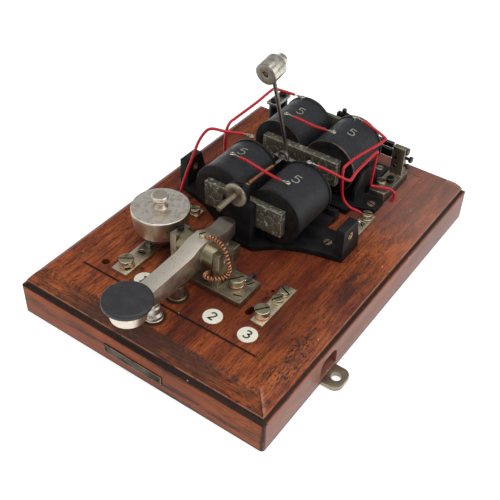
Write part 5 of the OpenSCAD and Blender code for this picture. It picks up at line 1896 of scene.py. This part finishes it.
@dataclass
class Wiring:
    """Red wires between coils and terminals, the black line lead and hidden runs."""

    radius: float = 1.0
    sleeve: float = 1.14
    red: tuple = (
        ((-28.2, 22.4, 56), (-30.4, 19.7, 57.5), (-42.9, 9.9, 60.2), (-53, 7.4, 59.8),
         (-57, 4, 57.5), (-59.5, -2, 50), (-60.5, -9, 38), (-62, -15, 26), (-63.3, -19.5, 14),
         (-64, -20.6, 7), (-64, -23.2, 3.9)),
        ((-26.6, 91.6, 57.9), (-48.2, 88.9, 58.2), (-50.6, 86, 58.2), (-49.5, 61.6, 58.2),
         (-49.3, 31.9, 58.2), (-49.7, 26, 57.5), (-50.3, 22, 52), (-50.4, 20.4, 40),
         (-50, 20.4, 16), (-50, 20.4, -2)),
        ((-23.4, -5.2, 55.6), (-10, -5.6, 55), (4, -7, 53.8), (17, -9, 54), (26, -10.2, 55.2)),
        ((-19.9, 63, 57.8), (-10, 63, 57.3), (4, 63, 56.3), (20.2, 63, 57.6)),
        ((27.2, 22.2, 54.3), (38, 25, 51.5), (53.5, 29.3, 46.6), (56.4, 31.5, 46), (56, 36, 46),
         (54.5, 46, 45.4), (54, 74, 45.4), (54.3, 77.5, 44), (53.8, 78, 38), (53.2, 76.6, 15),
         (54.4, 77.2, 12.6), (58, 78.6, 12.2), (63, 80.6, 12.4), (68, 83.2, 11.4),
         (70.8, 85, 7.6), (70.8, 85, 3.4), (70, 84, 0.6), (70, 84, -2)),
        ((25.6, 92.6, 57.8), (37, 95, 53), (50, 94.6, 48.4), (52.6, 91, 47.8), (50, 76, 47.4),
         (46, 60, 46.6), (44.2, 46, 45.6), (44.2, 42.5, 43.5), (44.8, 41.6, 36),
         (46, 43.7, 18), (51, 47, 8.6), (57, 49.8, 5.6), (63.6, 50.4, 4)),
    )
    soldered: tuple = (
        (True, False), (True, False), (True, True), (True, True), (True, False), (True, False),
    )
    bare: float = 5.5
    bare_radius: float = 0.42
    wrap: tuple[float, float, float] = (0.3, 0.75, 0.75)
    wrap_length: float = 3.2
    lead: Route = (
        (33.2, -67.6, 6.2), (34, -65, 6.4), (34, -61.4, 6.4), (32.8, -57.6, 4.4),
        (32, -55.2, 1.4), (32, -55, -1.9),
    )

    def build(self) -> None:
        """Makes the wires."""
        sleeves, tips = [], []
        for route, ends in zip(self.red, self.soldered):
            sleeve = [on_board(*p) for p in route]
            for soldered in ends:
                if soldered:
                    tips.append(self.strip_end(sleeve))
                sleeve.reverse()
            sleeves.append(sleeve)
        mesh = wires(sleeves, self.sleeve, RED_SLEEVE)
        add_piece("red_wires", mesh, RED_SLEEVE, "base", "coil_wires")
        ends = bmesh.new()
        ends.from_mesh(wires(tips, self.bare_radius, BRIGHT))
        for tip in tips:
            along = (tip[1] - tip[0]).normalized()
            wrapped = [tip[0], tip[0] + along * self.wrap_length * MM]
            ends.from_mesh(wound(wrapped, *self.wrap, BRIGHT, 0.2, 8))
        add_piece("tinned_wire_ends", ends, BRIGHT)
        mesh = wires([[on_board(*p) for p in self.lead]], self.radius, BLACK_SLEEVE)
        add_piece("black_lead", mesh, BLACK_SLEEVE, "base", "line_lead")
        add_refined("base", ("board_runs", "board_wiring", 0.05, 1, RED_SLEEVE))

    def strip_end(self, sleeve: list[Vector]) -> list[Vector]:
        """Cuts the sleeve back from its first point.

        Args:
            sleeve: its points, which this shortens.

        Returns:
            The points of the bare wire that then shows, and a little more.
        """
        left, bare = self.bare * MM, [sleeve[0]]
        while (sleeve[1] - sleeve[0]).length < left:
            left -= (sleeve[1] - sleeve[0]).length
            sleeve.pop(0)
            bare.append(sleeve[0])
        along = (sleeve[1] - sleeve[0]).normalized()
        sleeve[0] = sleeve[0] + along * left
        return bare + [sleeve[0] + along * MM]


# Studio


@dataclass
class Studio:
    """Camera, lamps, world and a plain pale floor."""

    location: tuple = (0.27077, -0.42012, 0.44920)
    right: tuple = (0.81747805, 0.57526202, 0.02834163)
    up: tuple = (-0.39801886, 0.52866903, 0.74972665)
    forward: tuple = (-0.41630592, 0.62416558, -0.66114046)
    lens: float = 59.56
    floor_half: float = 3.0
    floor_z: float = -0.0004
    floor_grey: Colour = (0.72, 0.72, 0.72)
    floor_glow: float = 0.62
    sky: Colour = (0.97, 0.985, 1.0)
    sky_strength: float = 0.42
    aim: tuple = (0, 0, 0.05)

    def build(self) -> None:
        """Makes the whole studio."""
        scene = bpy.context.scene
        scene.view_settings.view_transform = "Standard"
        self.camera(scene)
        self.world(scene)
        self.floor(scene)
        self.lamps(scene)

    def camera(self, scene: bpy.types.Scene) -> None:
        """The camera where the photograph was taken from."""
        data = bpy.data.cameras.new("camera")
        data.lens, data.sensor_width, data.clip_start = self.lens, 36.0, 0.01
        camera = bpy.data.objects.new("camera", data)
        turn = Matrix((self.right, self.up, [-v for v in self.forward])).transposed()
        camera.matrix_world = Matrix.Translation(self.location) @ turn.to_4x4()
        scene.collection.objects.link(camera)
        scene.camera = camera

    def world(self, scene: bpy.types.Scene) -> None:
        """Soft light from all round, shown white behind the object."""
        world = bpy.data.worlds.new("soft studio")
        world.use_nodes = True
        tree = Tree(world.node_tree)
        lit = tree.put("Background", None, {"Color": self.sky, "Strength": self.sky_strength})
        seen = tree.put("Background", None, {"Color": (1.0, 1.0, 1.0)})
        path = tree.put("LightPath").outputs
        tree.split(path["Is Camera Ray"], lit, seen, "OutputWorld")
        scene.world = world

    def floor(self, scene: bpy.types.Scene) -> None:
        """A pale floor that keeps a faint shadow."""
        h, z = self.floor_half, self.floor_z
        mesh = bpy.data.meshes.new("floor")
        mesh.from_pydata([(-h, -h, z), (h, -h, z), (h, h, z), (-h, h, z)], [], [(0, 1, 2, 3)])
        floor = bpy.data.objects.new("floor", mesh)
        scene.collection.objects.link(floor)
        material = bpy.data.materials.new("pale floor")
        material.use_nodes = True
        tree = Tree(material.node_tree)
        path = tree.put("LightPath").outputs
        matt = tree.put("BsdfDiffuse", None, {"Color": self.floor_grey})
        glow = tree.put("Emission", None, {"Strength": self.floor_glow})
        both = tree.put("AddShader", None, {0: matt.outputs[0], 1: glow.outputs[0]})
        seen = tree.calc("MAXIMUM", path["Is Camera Ray"], path["Is Glossy Ray"])
        tree.split(seen, matt, both, "OutputMaterial")
        mesh.materials.append(material)

    def lamps(self, scene: bpy.types.Scene) -> None:
        """A large soft lamp above, a second one from the right and a weak fill."""
        rows = (
            ("key lamp", (0.25, -0.30, 1.6), 1.6, 14.0),
            ("right lamp", (1.5, 0.3, 0.8), 1.3, 8.0),
            ("fill lamp", (-0.9, -1.3, 0.8), 1.0, 2.0),
        )
        for name, place, size, power in rows:
            data = bpy.data.lights.new(name, "AREA")
            data.shape, data.size, data.energy = "SQUARE", size, power
            lamp = bpy.data.objects.new(name, data)
            lamp.location = place
            aim = Vector(self.aim) - Vector(place)
            lamp.rotation_euler = aim.to_track_quat("-Z", "Y").to_euler()
            scene.collection.objects.link(lamp)


def main() -> None:
    """Builds the bell's sub-assemblies in order, then the studio."""
    logging.basicConfig(level=logging.INFO, format="%(name)s: %(message)s")
    for part in (
        BaseBoard(), Terminals(), Protector(), TappingKey(), Magnets(), BellMovement(), Hammer(),
        Relay(), Wiring(), Studio(),
    ):
        log.info("building %s", type(part).__name__)
        part.build()


if __name__ == "__main__":
    main()
